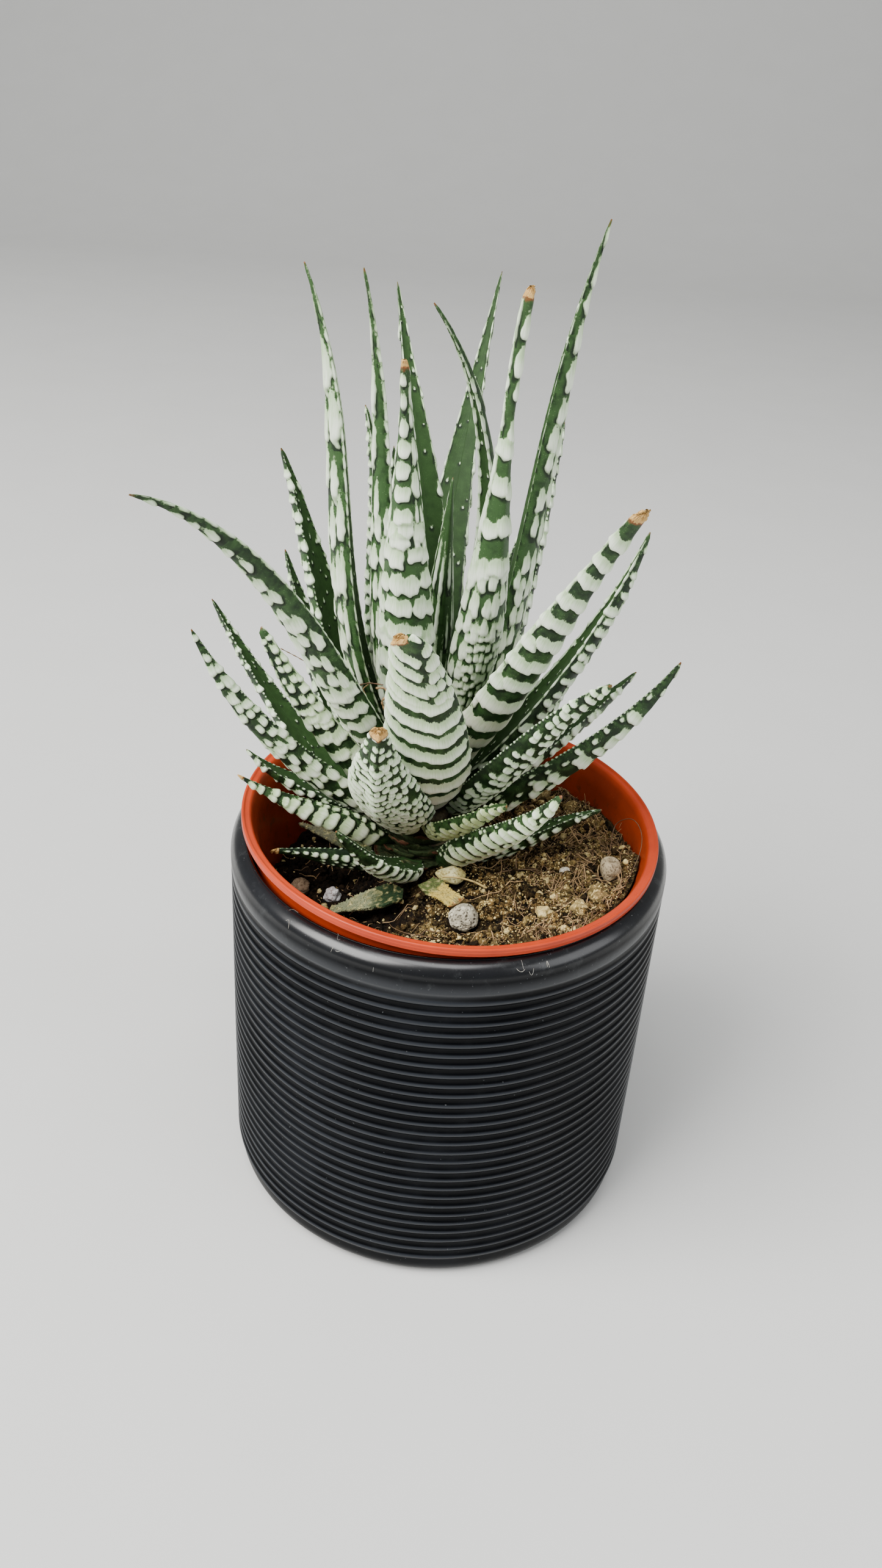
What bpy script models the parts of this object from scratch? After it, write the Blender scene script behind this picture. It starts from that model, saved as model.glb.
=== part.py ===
"""Potted striped haworthia: a rosette of banded leaves in a nursery pot inside a ribbed cover pot.

The origin is the centre of the cover pot's flat underside, +Z is up, and -Y faces the viewer.
Lengths below are in millimetres and angles in degrees; MM turns them into Blender's metres.
"""

import math

import bmesh
import bpy
import numpy as np
from mathutils import Matrix, Vector

MM = 0.001
GAP = 0.3                    # between pieces that touch

# Cover pot: a straight glazed cylinder with fine raised ribs
COVER_RADIUS = 37.5
COVER_HEIGHT = 69.6
COVER_WALL = 3.0
COVER_FLOOR = 5.0
RIM_ROUNDING = 2.8
FOOT_ROUNDING = 3.0
RIB_COUNT = 28
RIB_DEPTH = 0.45
RIBS_FROM, RIBS_TO = 4.0, 63.8
COVER_SEGMENTS = 32

# Nursery pot: thin, tapered, its lip lying on the cover pot's rim at the right and lifted at the left
LIP_RADIUS = 35.6
LIP_INNER = 34.0
LIP_CENTRE_HEIGHT = 72.7
LIP_RISE_X, LIP_RISE_Y = -0.041, 0.0235      # slope of the lip's plane
SKIRT_HEIGHT = 1.2
LIP_EDGE = 0.3
NURSERY_HEIGHT = 66.3
NURSERY_TOP_RADIUS = 33.7
NURSERY_FOOT_RADIUS = 25.0
NURSERY_WALL = 0.9
DRAIN_HOLES = 5
DRAIN_RADIUS = 3.0
NURSERY_SEGMENTS = 32

# Soil: low at the left, mounded at the front and at the right
SOIL_LEVEL = 60.6
SOIL_SLOPE = 0.16
SOIL_FRONT_RISE = 3.2
SOIL_SEGMENTS = 32

# Stem: the short core that the leaves grow from, leaning back
STEM_RADIUS = 4.9
STEM_FOOT = 54.0
STEM_TOP = 90.0
STEM_X, STEM_Y = -4.5, 2.0                   # its axis at height STEM_AT
STEM_AT = 60.0
STEM_LEAN_X, STEM_LEAN_Y = -0.02, 0.22
LEAF_START = 5.6                             # from the stem's axis to a leaf's base

# Leaves: share of the greatest width and thickness along the length
ALONG = (0.00, 0.10, 0.24, 0.45, 0.65, 0.85, 1.00)
WIDTH_SHARE = (0.46, 0.76, 1.00, 0.84, 0.55, 0.24, 0.05)
THICK_SHARE = (0.80, 0.95, 1.00, 0.88, 0.70, 0.45, 0.22)
# Section of a leaf, right round: share of half the width, share of the thickness
SECTION = ((-1.00, 0.00), (0.00, -0.15), (1.00, 0.00),
           (0.82, -0.52), (0.34, -0.96), (-0.34, -0.96), (-0.82, -0.52))
BAND_HEIGHT = 0.4
BAND_OVERHANG = 0.18
TWIST_OVER = 0.35            # share of the length over which a leaf turns about its own axis

# One leaf a line. azimuth: 0 right, 90 away, -90 towards the viewer; drift: how far it turns on its way;
# from: height of its base; rises: its slope at base, middle and tip; then length, width, thickness,
# width of the tip (0.8 where it is whole, more where it has dried off), the spacing of its bands,
# the fullness of its outer part (1 tapers evenly, less stays broad towards the tip), and its roll
# about its own line, which turns a low leaf's round outer face to the side.
LEAVES = {
    "leaf_tall_right": (0, 0, 85, 73, 84, 74, 84.5, 7.8, 3.6, 0.8, 5.6, 1.2, 0),
    "leaf_tall_left": (182, 1, 84, 60, 86, 68, 78, 7.6, 3.6, 0.8, 6, 1.3, 0),
    "leaf_back_wide": (92, -26, 84.5, 60, 60, 68, 78, 7.8, 3.2, 0.8, 6, 1.1, 0),
    "leaf_back_left": (112, 8, 88.5, 113, 71, 68, 69, 8, 3.2, 0.8, 6, 1.1, 0),
    "leaf_left_slim": (206, 0, 89.5, 78, 88, 75, 71.5, 6, 2.6, 0.8, 6, 1.3, 0),
    "leaf_curved": (51, -10, 86.6, 71, 96, 132, 73, 5, 2.4, 0.8, 6, 1.2, 0),
    "leaf_right_upright": (-54, 0, 89, 63, 87, 77, 73.5, 8.4, 4, 1.8, 5.6, 1.8, 0),
    "leaf_front_upright": (-110, 1, 86.5, 64, 85, 77, 66, 9.2, 4.4, 1.4, 5.4, 1, 0),
    "leaf_centre": (-77, 0, 92, 87, 84, 81, 40, 5, 3, 0.8, 6, 1, 0),
    "leaf_back_small": (143, 5, 84, 58, 87, 70, 55, 7, 3.2, 0.8, 6, 1, 0),
    "leaf_left_arched": (-137, 2, 81, 48, 58, 19, 75, 9, 4, 0.8, 5.4, 1.2, 0),
    "leaf_left_green": (155, -1, 79, 40, 70, 66, 56, 9, 3.8, 0.8, 6, 1, 0),
    "leaf_left_small": (146, 2, 73.5, 32, 55, 71, 46, 7, 3.2, 0.8, 6, 1, 0),
    "leaf_right_broad": (-45, -2, 83, 57, 60, 55, 63.5, 9.2, 4.4, 3.2, 5, 0.8, 0),
    "leaf_right_under": (3, -2, 77, 51, 60, 75, 54, 7, 3.6, 0.8, 5, 1, 0),
    "leaf_front_broad": (-87, -22, 77, 50, 61, 56, 49, 13.6, 5.4, 3.0, 4, 0.42, 0),
    "leaf_front_keeled": (-116.5, 34.5, 72, 46, 52, 71, 36.8, 13.5, 4.8, 2.6, 4, 0.75, 0),
    "leaf_left_1": (-162, 0, 74.5, 50, 56, 65, 40, 9, 4.2, 0.8, 4, 0.8, -15),
    "leaf_left_2": (150, 8, 63, 23, 44, 57, 54.5, 7, 3.4, 0.8, 4.5, 1, 0),
    "leaf_left_3": (-161.5, 7.3, 70.9, 32.2, 48.7, 67, 51.5, 6.4, 3.6, 0.8, 4.5, 1, -30),
    "leaf_left_4": (178, 5, 68.3, 23, 21, 49, 28.5, 6, 3, 0.8, 4.5, 1, 0),
    "leaf_left_5": (-153.3, -8.5, 66.6, 34.9, 30.1, 41.5, 32.1, 4.7, 3.6, 0.9, 4.5, 1, -60),
    "leaf_left_6": (-161, 1, 62, 4, 17, 7, 22, 6, 3, 1.2, 4.5, 1, -45),
    "leaf_right_1": (-42, -3, 74.8, 42, 54, 40, 46.5, 8.4, 4, 0.8, 4, 0.8, 0),
    "leaf_right_2": (24, -1, 72, 28, 31, 45, 39, 7.5, 3.6, 0.8, 5, 1, 0),
    "leaf_right_3": (-12.3, 0.2, 71.0, 40, 45, 65, 49.5, 8, 4, 0.8, 4.5, 1, 20),
    "leaf_right_4": (-52.5, -2, 65.2, 48, 42, 58, 40.5, 7.3, 3.6, 0.8, 4.5, 0.8, 20),
    "leaf_right_5": (-16, 7, 64.6, 12, 35, 27, 28.5, 6, 3, 0.8, 4.5, 1, 0),
    "leaf_front_low_left": (-106, -48, 64, 13, 42, 50, 25.5, 7.6, 3, 0.8, 3.5, 1, 0),
    "leaf_front_low_right": (-69, 28, 71.0, 30, 42, 33, 25, 7.6, 3.2, 0.8, 3.5, 0.7, 0),
    "leaf_rear_1": (55, 0, 77.5, 51, 65, 76, 62, 9.5, 4, 0.8, 6, 1, 0),
    "leaf_rear_2": (108, 0, 76, 47, 62, 74, 56.5, 9, 4, 0.8, 6, 1, 0),
    "leaf_rear_3": (78, 0, 70, 32, 50, 66, 46, 9, 4, 0.8, 5, 1, 0),
    "leaf_rear_4": (138, 0, 68.5, 24, 42, 62, 40, 8, 3.8, 0.8, 5, 1, 0),
    "leaf_rear_5": (45, 0, 66, 18, 36, 55, 36, 7.5, 3.6, 0.8, 5, 1, 0),
    "leaf_rear_6": (105, 0, 64.5, 10, 27, 46, 28, 7, 3.4, 0.8, 5, 1, 0),
}
CENTRE_LEAF_START = 1.0

# Dead leaves on the soil. foot: x, y, height; azimuth; its slopes; length, width, thickness, width of the tip
FALLEN = {
    "dead_leaf_left": (-7, -13, 64.4, 180, -20, -22, -24, 13, 6.0, 1.6, 2.5),
    "dead_leaf_right": (-3.4, -11.4, 66.2, -43, 2, 0, -4, 7.5, 4.5, 1.5, 3.6),
    "dead_leaf_back": (-14, 3.5, 61, 146, -4, -4, -6, 17, 3.4, 1.6, 0.8),
}

# Stones on the soil: x, y, size, turn, colour
PEBBLES = {
    "pebble_oval": (0.7, -7.2, (4.9, 3.4, 3.0), 5, (0.62, 0.55, 0.36)),
    "pumice_speckled": (3.2, -19.3, (5.2, 4.4, 4.2), 0, (0.55, 0.55, 0.50)),
    "perlite_white": (-19.5, -5.7, (3.2, 2.8, 2.6), 20, (0.72, 0.72, 0.70)),
    "pebble_tan": (-25.3, -3.0, (3.4, 3.0, 3.0), 40, (0.45, 0.36, 0.25)),
    "pebble_beige": (27.2, -7.6, (3.4, 4.0, 4.4), 10, (0.50, 0.42, 0.30)),
    "pebble_small_white": (19.7, -6.8, (1.8, 1.6, 1.7), 30, (0.70, 0.68, 0.62)),
}


def stem_axis(height):
    return np.array([STEM_X + STEM_LEAN_X * (height - STEM_AT), STEM_Y + STEM_LEAN_Y * (height - STEM_AT), height])


def soil_height(x, y):
    """The soil's surface: a slope up to the right, a rise towards the front, and gentle lumps."""
    ramp_front = min(max((5 - y) / 9, 0), 1)
    ramp_side = min(max((x + 16) / 14, 0), 1)
    rise = SOIL_FRONT_RISE * ramp_front**2 * (3 - 2 * ramp_front) * ramp_side**2 * (3 - 2 * ramp_side)
    lumps = 0.35 * math.sin(0.9 * x + 1.3) * math.cos(0.8 * y) + 0.25 * math.sin(1.7 * y + 0.6 * x)
    return SOIL_LEVEL + SOIL_SLOPE * x + rise + lumps


# Collections and materials
def collection(name):
    made = bpy.data.collections.new(name)
    bpy.context.scene.collection.children.link(made)
    return made


def material(name, colour, roughness, metallic=0.0):
    made = bpy.data.materials.new(name)
    made.use_nodes = True
    shader = made.node_tree.nodes["Principled BSDF"]
    shader.inputs["Base Color"].default_value = (*colour, 1)
    shader.inputs["Roughness"].default_value = roughness
    shader.inputs["Metallic"].default_value = metallic
    return made


def add_object(name, mesh, home, look=None):
    made = bpy.data.objects.new(name, mesh)
    home.objects.link(made)
    if look:
        mesh.materials.append(look)
        mesh.shade_smooth()
        mesh.set_sharp_from_angle(angle=math.radians(35))
    return made


def add_cutter(name, mesh):
    made = add_object(name, mesh, CUTTERS)
    made.hide_render = True
    made.display_type = "WIRE"
    return made


def from_bmesh(name, shape):
    mesh = bpy.data.meshes.new(name)
    bmesh.ops.recalc_face_normals(shape, faces=shape.faces)
    shape.to_mesh(mesh)
    shape.free()
    return mesh


def cut(piece, cutter):
    boolean = piece.modifiers.new(cutter.name, "BOOLEAN")
    boolean.operation = "DIFFERENCE"
    boolean.solver = "EXACT"
    boolean.object = cutter


def turned(name, profile, segments, look):
    """A turned solid: the profile starts and ends on the axis and runs down the outer side."""
    mesh = bpy.data.meshes.new(name)
    points = [(radius * MM, 0, height * MM) for radius, height in profile]
    mesh.from_pydata(points, [(i, i + 1) for i in range(len(points) - 1)], [])
    made = add_object(name, mesh, PARTS, look)
    screw = made.modifiers.new("Turn", "SCREW")
    screw.steps = screw.render_steps = segments
    screw.use_merge_vertices = True
    screw.merge_threshold = 0.00002
    screw.use_smooth_shade = True
    return made


def arc(centre_radius, centre_height, radius, start, end, steps):
    """Points of a profile's rounding, from the start angle to the end angle."""
    turns = [math.radians(start + (end - start) * i / steps) for i in range(steps + 1)]
    return [(centre_radius + radius * math.cos(a), centre_height + radius * math.sin(a)) for a in turns]


# Pots
def cover_profile():
    inner = COVER_RADIUS - COVER_WALL
    profile = [(0, COVER_FLOOR)]
    profile += arc(inner - 3, COVER_FLOOR + 3, 3, -90, 0, 3)
    profile += [(inner, COVER_HEIGHT - 0.4), (inner + 0.2, COVER_HEIGHT)]
    profile += arc(COVER_RADIUS - RIM_ROUNDING, COVER_HEIGHT - RIM_ROUNDING, RIM_ROUNDING, 90, 0, 4)
    pitch = (RIBS_TO - RIBS_FROM) / RIB_COUNT
    profile.append((COVER_RADIUS, RIBS_TO + 0.5 * pitch))
    for rib in range(RIB_COUNT):
        top = RIBS_TO - rib * pitch
        profile += [(COVER_RADIUS - RIB_DEPTH, top), (COVER_RADIUS, top - 0.5 * pitch)]
    profile.append((COVER_RADIUS - RIB_DEPTH, RIBS_FROM))
    profile += arc(COVER_RADIUS - RIB_DEPTH - FOOT_ROUNDING, FOOT_ROUNDING, FOOT_ROUNDING, 0, -90, 3)
    profile.append((0, 0))
    return profile


def nursery_profile():
    """The nursery pot upright, its foot at height 0."""
    lip = NURSERY_HEIGHT
    inner_top = NURSERY_TOP_RADIUS - NURSERY_WALL
    inner_foot = NURSERY_FOOT_RADIUS - NURSERY_WALL
    return [(0, NURSERY_WALL), (inner_foot, NURSERY_WALL), (inner_top, lip - 3.2), (LIP_INNER, lip),
            (LIP_RADIUS - 0.7, lip), (LIP_RADIUS - 0.5, lip + LIP_EDGE), (LIP_RADIUS, lip + LIP_EDGE),
            (LIP_RADIUS, lip - SKIRT_HEIGHT), (LIP_INNER + 0.3, lip - SKIRT_HEIGHT),
            (NURSERY_TOP_RADIUS, lip - 3.2), (NURSERY_FOOT_RADIUS, 0), (0, 0)]


def nursery_matrix():
    """Turns the upright pot so that its lip lies in its sloping plane."""
    up = Vector((-LIP_RISE_X, -LIP_RISE_Y, 1)).normalized()
    foot = Vector((0, 0, LIP_CENTRE_HEIGHT)) - up * NURSERY_HEIGHT
    return Matrix.Translation(foot * MM) @ Vector((0, 0, 1)).rotation_difference(up).to_matrix().to_4x4()


def make_nursery_pot(look):
    pot = turned("nursery_pot", nursery_profile(), NURSERY_SEGMENTS, look)
    pot.matrix_world = nursery_matrix()
    holes = bmesh.new()
    for i in range(DRAIN_HOLES):
        turn = math.tau * i / DRAIN_HOLES
        place = Matrix.Translation(Vector((16 * math.cos(turn), 16 * math.sin(turn), 0.4)) * MM)
        bmesh.ops.create_cone(holes, cap_ends=True, segments=10, radius1=DRAIN_RADIUS * MM,
                              radius2=DRAIN_RADIUS * MM, depth=4 * MM, matrix=place)
    cutter = add_cutter("drain_hole_cutter", from_bmesh("drain_hole_cutter", holes))
    cutter.matrix_world = nursery_matrix()
    cut(pot, cutter)


# Soil and stem
def make_soil(look):
    """A plug that follows the nursery pot's inside, with the surface's height rule on its top rings
    and a plain slanting hole for the stem."""
    inside = nursery_matrix()
    inner_foot = NURSERY_FOOT_RADIUS - NURSERY_WALL - GAP
    inner_top = NURSERY_TOP_RADIUS - NURSERY_WALL - GAP
    wall_height = NURSERY_HEIGHT - 3.2 - NURSERY_WALL
    low, high = NURSERY_WALL + GAP, 0.0

    def wall_point(turn, level):
        """A point on the soil's side; the level is measured along the pot's axis."""
        radius = inner_foot + (inner_top - inner_foot) * (level - NURSERY_WALL) / wall_height
        spot = inside @ Vector((radius * math.cos(turn) * MM, radius * math.sin(turn) * MM, level * MM))
        return np.array(spot) / MM

    hole_foot = STEM_FOOT - STEM_RADIUS * STEM_LEAN_Y - GAP
    hole = 1.03 * STEM_RADIUS + GAP + 0.05
    shape = bmesh.new()
    rings = []
    turns = [math.tau * i / SOIL_SEGMENTS for i in range(SOIL_SEGMENTS)]
    rings.append([stem_axis(hole_foot) + hole * np.array([math.cos(a), math.sin(a), 0]) for a in turns])
    edge = []
    for a in turns:
        level = 50.0
        for _ in range(6):
            spot = wall_point(a, level)
            level += soil_height(spot[0], spot[1]) - spot[2]
        edge.append(wall_point(a, level))
    for share in (0.0, 0.13, 0.28, 0.45, 0.63, 0.82, 1.0):
        ring = []
        for a, rim in zip(turns, edge):
            start = stem_axis(SOIL_LEVEL) + hole * np.array([math.cos(a), math.sin(a), 0])
            spot = start * (1 - share) + rim * share
            spot[2] = soil_height(spot[0], spot[1]) if share < 1 else rim[2]
            ring.append(spot)
        rings.append(ring)
    rings.append([wall_point(a, 25.0) for a in turns])
    rings.append([wall_point(a, low) for a in turns])
    for ring in rings:
        for spot in ring:
            shape.verts.new(Vector(spot) * MM)
    shape.verts.ensure_lookup_table()
    count = SOIL_SEGMENTS
    for k in range(len(rings) - 1):
        for i in range(count):
            j = (i + 1) % count
            shape.faces.new([shape.verts[k * count + i], shape.verts[k * count + j],
                             shape.verts[(k + 1) * count + j], shape.verts[(k + 1) * count + i]])
    shape.faces.new([shape.verts[i] for i in range(count)])
    shape.faces.new([shape.verts[(len(rings) - 1) * count + i] for i in range(count)])
    bmesh.ops.triangulate(shape, faces=shape.faces)
    return add_object("soil", from_bmesh("soil", shape), PARTS, look)


def make_stem(look):
    length = (STEM_TOP - STEM_FOOT) / math.cos(math.atan(STEM_LEAN_Y))
    profile = [(0, length), (0.5 * STEM_RADIUS, length - 0.4), (0.85 * STEM_RADIUS, length - 1.8),
               (STEM_RADIUS, length - 4), (STEM_RADIUS, 0), (0, 0)]
    stem = turned("stem", profile, 20, look)
    up = Vector((STEM_LEAN_X, STEM_LEAN_Y, 1)).normalized()
    turn = Vector((0, 0, 1)).rotation_difference(up).to_matrix().to_4x4()
    stem.matrix_world = Matrix.Translation(Vector(stem_axis(STEM_FOOT)) * MM) @ turn


# Leaves
def leaf_path(azimuth, drift, base, rises, length, start, steps=60):
    """The leaf's centre line: shares of the length, points, and unit steps."""
    share = np.linspace(0, 1, steps + 1)
    spread = np.clip(share * length / 2.6, 0, 1)
    lift = np.radians(rises[0] * (1 - share) * (1 - 2 * share) + rises[1] * 4 * share * (1 - share)
                      + rises[2] * share * (2 * share - 1)) * spread**2 * (3 - 2 * spread)
    turn = np.radians(azimuth + drift * share)
    step = np.stack([np.cos(lift) * np.cos(turn), np.cos(lift) * np.sin(turn), np.sin(lift)], 1)
    walk = (step[1:] + step[:-1]) / 2 * length / steps
    points = np.vstack([np.zeros(3), np.cumsum(walk, 0)])
    outward = np.array([math.cos(turn[0]), math.sin(turn[0]), 0])
    return share, points + stem_axis(base) + start * outward, step


def band_stations(length, spacing):
    """Where the leaf's sections stand, and which of them are raised: each band is a low and a high one."""
    count = max(3, round(0.78 * length / spacing))
    at, high = [0.0, 0.045], [0, 0]
    for k in range(count):
        near, far = (0.10 + 0.78 * ((k + i) / count) ** 0.85 for i in (0, 1))
        at += [near, near + 0.45 * (far - near)]
        high += [0, 1]
    return np.array(at + [0.93, 1.0]), np.array(high + [0, 0], float)


def leaf_sections(leaf, start=LEAF_START):
    azimuth, drift, base, *rises, length, width, thickness, tip, spacing, fullness, roll = leaf
    walked, points, step = leaf_path(azimuth, drift, base, rises, length, start)
    at, high = band_stations(length, spacing)
    centre = np.stack([np.interp(at, walked, points[:, k]) for k in range(3)], 1)
    along = np.stack([np.interp(at, walked, step[:, k]) for k in range(3)], 1)
    along /= np.linalg.norm(along, axis=1)[:, None]
    turn = np.radians(azimuth + drift * at)
    side = np.stack([np.sin(turn), -np.cos(turn), 0 * turn], 1)
    side -= (side * along).sum(1)[:, None] * along
    side /= np.linalg.norm(side, axis=1)[:, None]
    up = np.cross(side, along)
    twist = np.radians(roll * np.clip(at / TWIST_OVER, 0, 1))[:, None]
    side, up = side * np.cos(twist) + up * np.sin(twist), up * np.cos(twist) - side * np.sin(twist)
    share = np.interp(at, ALONG, WIDTH_SHARE)
    half = np.maximum(width / 2 * np.where(at > 0.24, share**fullness, share), tip / 2)
    thick = np.maximum(thickness * np.interp(at, ALONG, THICK_SHARE), 0.7)
    thick = np.minimum(thick, np.maximum(1.5 * half, 0.7))
    half = half + BAND_OVERHANG * high
    rings = []
    for k in range(len(at)):
        ring = []
        for across, depth in SECTION:
            raised = BAND_HEIGHT * high[k] * (1 if depth < -0.6 else 0.6 if depth < -0.3 else 0)
            ring.append(centre[k] + side[k] * across * half[k] + up[k] * ((depth + 0.35) * thick[k] - raised))
        rings.append(ring)
    return rings


def loft(name, rings, look):
    """A closed body through rings of the same number of points."""
    shape = bmesh.new()
    rows = [[shape.verts.new(Vector(spot) * MM) for spot in ring] for ring in rings]
    count = len(rows[0])
    for lower, upper in zip(rows, rows[1:]):
        for i in range(count):
            j = (i + 1) % count
            shape.faces.new([lower[i], lower[j], upper[j], upper[i]])
    shape.faces.new(rows[0])
    shape.faces.new(rows[-1])
    bmesh.ops.triangulate(shape, faces=shape.faces)
    return add_object(name, from_bmesh(name, shape), PARTS, look)


# Dead leaves and pebbles on the soil
def fallen_sections(fallen):
    """A dead leaf lies free of the stem: its foot is a point and its path is a leaf's."""
    x, y, height, azimuth, *rises, length, width, thickness, tip = fallen
    move = np.array([x, y, height]) - stem_axis(STEM_AT)
    leaf = (azimuth, 0, STEM_AT, *rises, length, width, thickness, tip, 4.0, 0.7, 0)
    return [[spot + move for spot in ring] for ring in leaf_sections(leaf, start=0.0)]


def pebble_mesh(name, size, grow=0.0, seed=0):
    """A rounded stone: an icosphere pushed in and out by a few waves."""
    shape = bmesh.new()
    bmesh.ops.create_icosphere(shape, subdivisions=2, radius=1.0)
    for vert in shape.verts:
        x, y, z = vert.co
        swell = 1 + 0.06 * math.sin(3 * x + seed) + 0.05 * math.sin(4 * y - 2 * seed) + 0.04 * math.cos(5 * z + seed)
        vert.co = Vector(((size[0] / 2 + grow) * x * swell, (size[1] / 2 + grow) * y * swell,
                          (size[2] / 2 + grow) * z * swell)) * MM
    return from_bmesh(name, shape)


def make_pebbles(soil):
    """Each pebble is half sunk in a socket of its own shape, a gap larger all round."""
    for seed, (name, (x, y, size, turn, colour)) in enumerate(PEBBLES.items()):
        place = Matrix.Translation(Vector((x, y, soil_height(x, y) + 0.22 * size[2])) * MM)
        place = place @ Matrix.Rotation(math.radians(turn), 4, "Z")
        pebble = add_object(name, pebble_mesh(name, size, seed=seed), PARTS, material(name, colour, 0.85))
        pebble.matrix_world = place
        cutter = add_cutter(name + "_socket", pebble_mesh(name + "_socket", size, GAP, seed))
        cutter.matrix_world = place
        cut(soil, cutter)


for old in list(bpy.data.objects):
    bpy.data.objects.remove(old)
PARTS = collection("potted_haworthia")
CUTTERS = collection("cutters")

turned("cover_pot", cover_profile(), COVER_SEGMENTS, material("dark glaze", (0.035, 0.04, 0.048), 0.28))
make_nursery_pot(material("terracotta plastic", (0.62, 0.13, 0.05), 0.45))
soil = make_soil(material("soil", (0.10, 0.065, 0.04), 0.95))
make_stem(material("stem", (0.18, 0.20, 0.10), 0.8))
leaf_look = material("banded leaf", (0.14, 0.24, 0.12), 0.5)
for name, leaf in LEAVES.items():
    loft(name, leaf_sections(leaf, CENTRE_LEAF_START if name == "leaf_centre" else LEAF_START), leaf_look)
dead_look = material("dead leaf", (0.42, 0.38, 0.22), 0.8)
for name, fallen in FALLEN.items():
    loft(name, fallen_sections(fallen), dead_look)
make_pebbles(soil)
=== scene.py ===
# %% [markdown]
# # A potted striped haworthia
#
# The model comes in two layers. The solid parts carry the real sizes: two pots, the soil plug,
# a stem, every leaf and every stone. This lesson dresses them: each solid is stood for by a
# finer piece of the same form, with warts, ribs and crumbs in its geometry, and a finish made
# of shader nodes. Lengths are in millimetres and angles in degrees; MM turns lengths into
# Blender's metres. +Z is up, and -Y faces the viewer.

# %% Load the solid parts
import math
from dataclasses import dataclass

import bmesh
import bpy
import numpy as np
from mathutils import Matrix, Vector, noise


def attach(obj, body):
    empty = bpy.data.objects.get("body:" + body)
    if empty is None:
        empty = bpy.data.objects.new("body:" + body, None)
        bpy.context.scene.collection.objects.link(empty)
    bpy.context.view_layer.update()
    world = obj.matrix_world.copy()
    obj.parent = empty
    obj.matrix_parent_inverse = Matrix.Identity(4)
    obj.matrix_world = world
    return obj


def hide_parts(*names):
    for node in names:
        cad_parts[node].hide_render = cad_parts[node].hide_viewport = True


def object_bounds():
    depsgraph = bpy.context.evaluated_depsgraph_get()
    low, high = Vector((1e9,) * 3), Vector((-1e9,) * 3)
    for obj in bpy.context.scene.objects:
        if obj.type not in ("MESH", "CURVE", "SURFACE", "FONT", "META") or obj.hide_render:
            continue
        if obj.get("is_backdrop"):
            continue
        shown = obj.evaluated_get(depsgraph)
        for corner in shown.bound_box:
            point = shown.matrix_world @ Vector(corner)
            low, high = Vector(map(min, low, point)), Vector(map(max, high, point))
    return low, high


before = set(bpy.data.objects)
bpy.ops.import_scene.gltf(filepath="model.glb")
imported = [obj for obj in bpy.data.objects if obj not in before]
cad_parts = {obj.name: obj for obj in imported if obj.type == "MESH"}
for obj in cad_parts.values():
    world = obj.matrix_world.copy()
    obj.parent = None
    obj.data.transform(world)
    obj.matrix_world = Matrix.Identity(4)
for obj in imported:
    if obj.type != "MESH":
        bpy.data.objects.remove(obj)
solid_box = [list(corner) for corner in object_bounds()]
MM = 0.001
print("solid parts:", len(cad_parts))
print("box in mm:", [[round(v / MM, 1) for v in corner] for corner in solid_box])

# %% [markdown]
# ## Camera
# A close phone picture looks down on the plant by about thirty degrees and leans a little.
# The camera is set by its place and three angles. Its three axes are worked out from the
# angles and written as the columns of a rotation matrix, which is easier to follow than Euler
# angles in the right order.

# %% Camera
CAMERA_PLACE = Vector((0, -0.18663, 0.19333))
CAMERA_DOWN, CAMERA_TURN, CAMERA_LEAN = (math.radians(angle) for angle in (31.58, -0.66, -4.07))
CAMERA_LENS = 29.85                          # millimetres, on a 36 mm high sensor

sine, cosine = math.sin(CAMERA_DOWN), math.cos(CAMERA_DOWN)
ahead = Vector((math.sin(CAMERA_TURN) * cosine, math.cos(CAMERA_TURN) * cosine, -sine))
level_right = Vector((math.cos(CAMERA_TURN), -math.sin(CAMERA_TURN), 0))
level_down = ahead.cross(level_right)
right = math.cos(CAMERA_LEAN) * level_right + math.sin(CAMERA_LEAN) * level_down
down = math.cos(CAMERA_LEAN) * level_down - math.sin(CAMERA_LEAN) * level_right
camera_data = bpy.data.cameras.new("camera")
camera_data.lens = CAMERA_LENS
camera_data.sensor_width = 36
camera_data.clip_start = 0.01
camera = bpy.data.objects.new("camera", camera_data)
axes = Matrix((right, -down, -ahead)).transposed().to_4x4()
camera.matrix_world = Matrix.Translation(CAMERA_PLACE) @ axes
bpy.context.scene.collection.objects.link(camera)
bpy.context.scene.camera = camera
print("camera", round(CAMERA_PLACE.length, 3), "m from the pot's foot")

# %% [markdown]
# ## Tools: a mesh piece
# Most pieces here are grids: rows of points joined by quads. One function turns points and
# faces into an object, gives it its finish, ties it to the part's one body and hides the solid
# that it stands for. It also writes numbers on the vertices for the finish to read. A grid that
# was laid the other way round comes out with its faces turned inwards: its signed volume is
# below zero, and it is flipped.

# %% Make a piece
fine_pieces = {}


def new_object(name, points, faces, finish=None):
    """A smooth mesh object from points in metres."""
    mesh = bpy.data.meshes.new(name)
    mesh.from_pydata(np.asarray(points).tolist(), [], faces)
    if finish:
        mesh.materials.append(finish)
    mesh.shade_smooth()
    made = bpy.data.objects.new(name, mesh)
    bpy.context.scene.collection.objects.link(made)
    return made


def is_inside_out(mesh, points):
    mesh.calc_loop_triangles()
    corners = np.empty(len(mesh.loop_triangles) * 3, np.int32)
    mesh.loop_triangles.foreach_get("vertices", corners)
    a, b, c = points[corners].reshape(-1, 3, 3).transpose(1, 0, 2)
    return np.einsum("ij,ij", a, np.cross(b, c)) < 0


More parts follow.
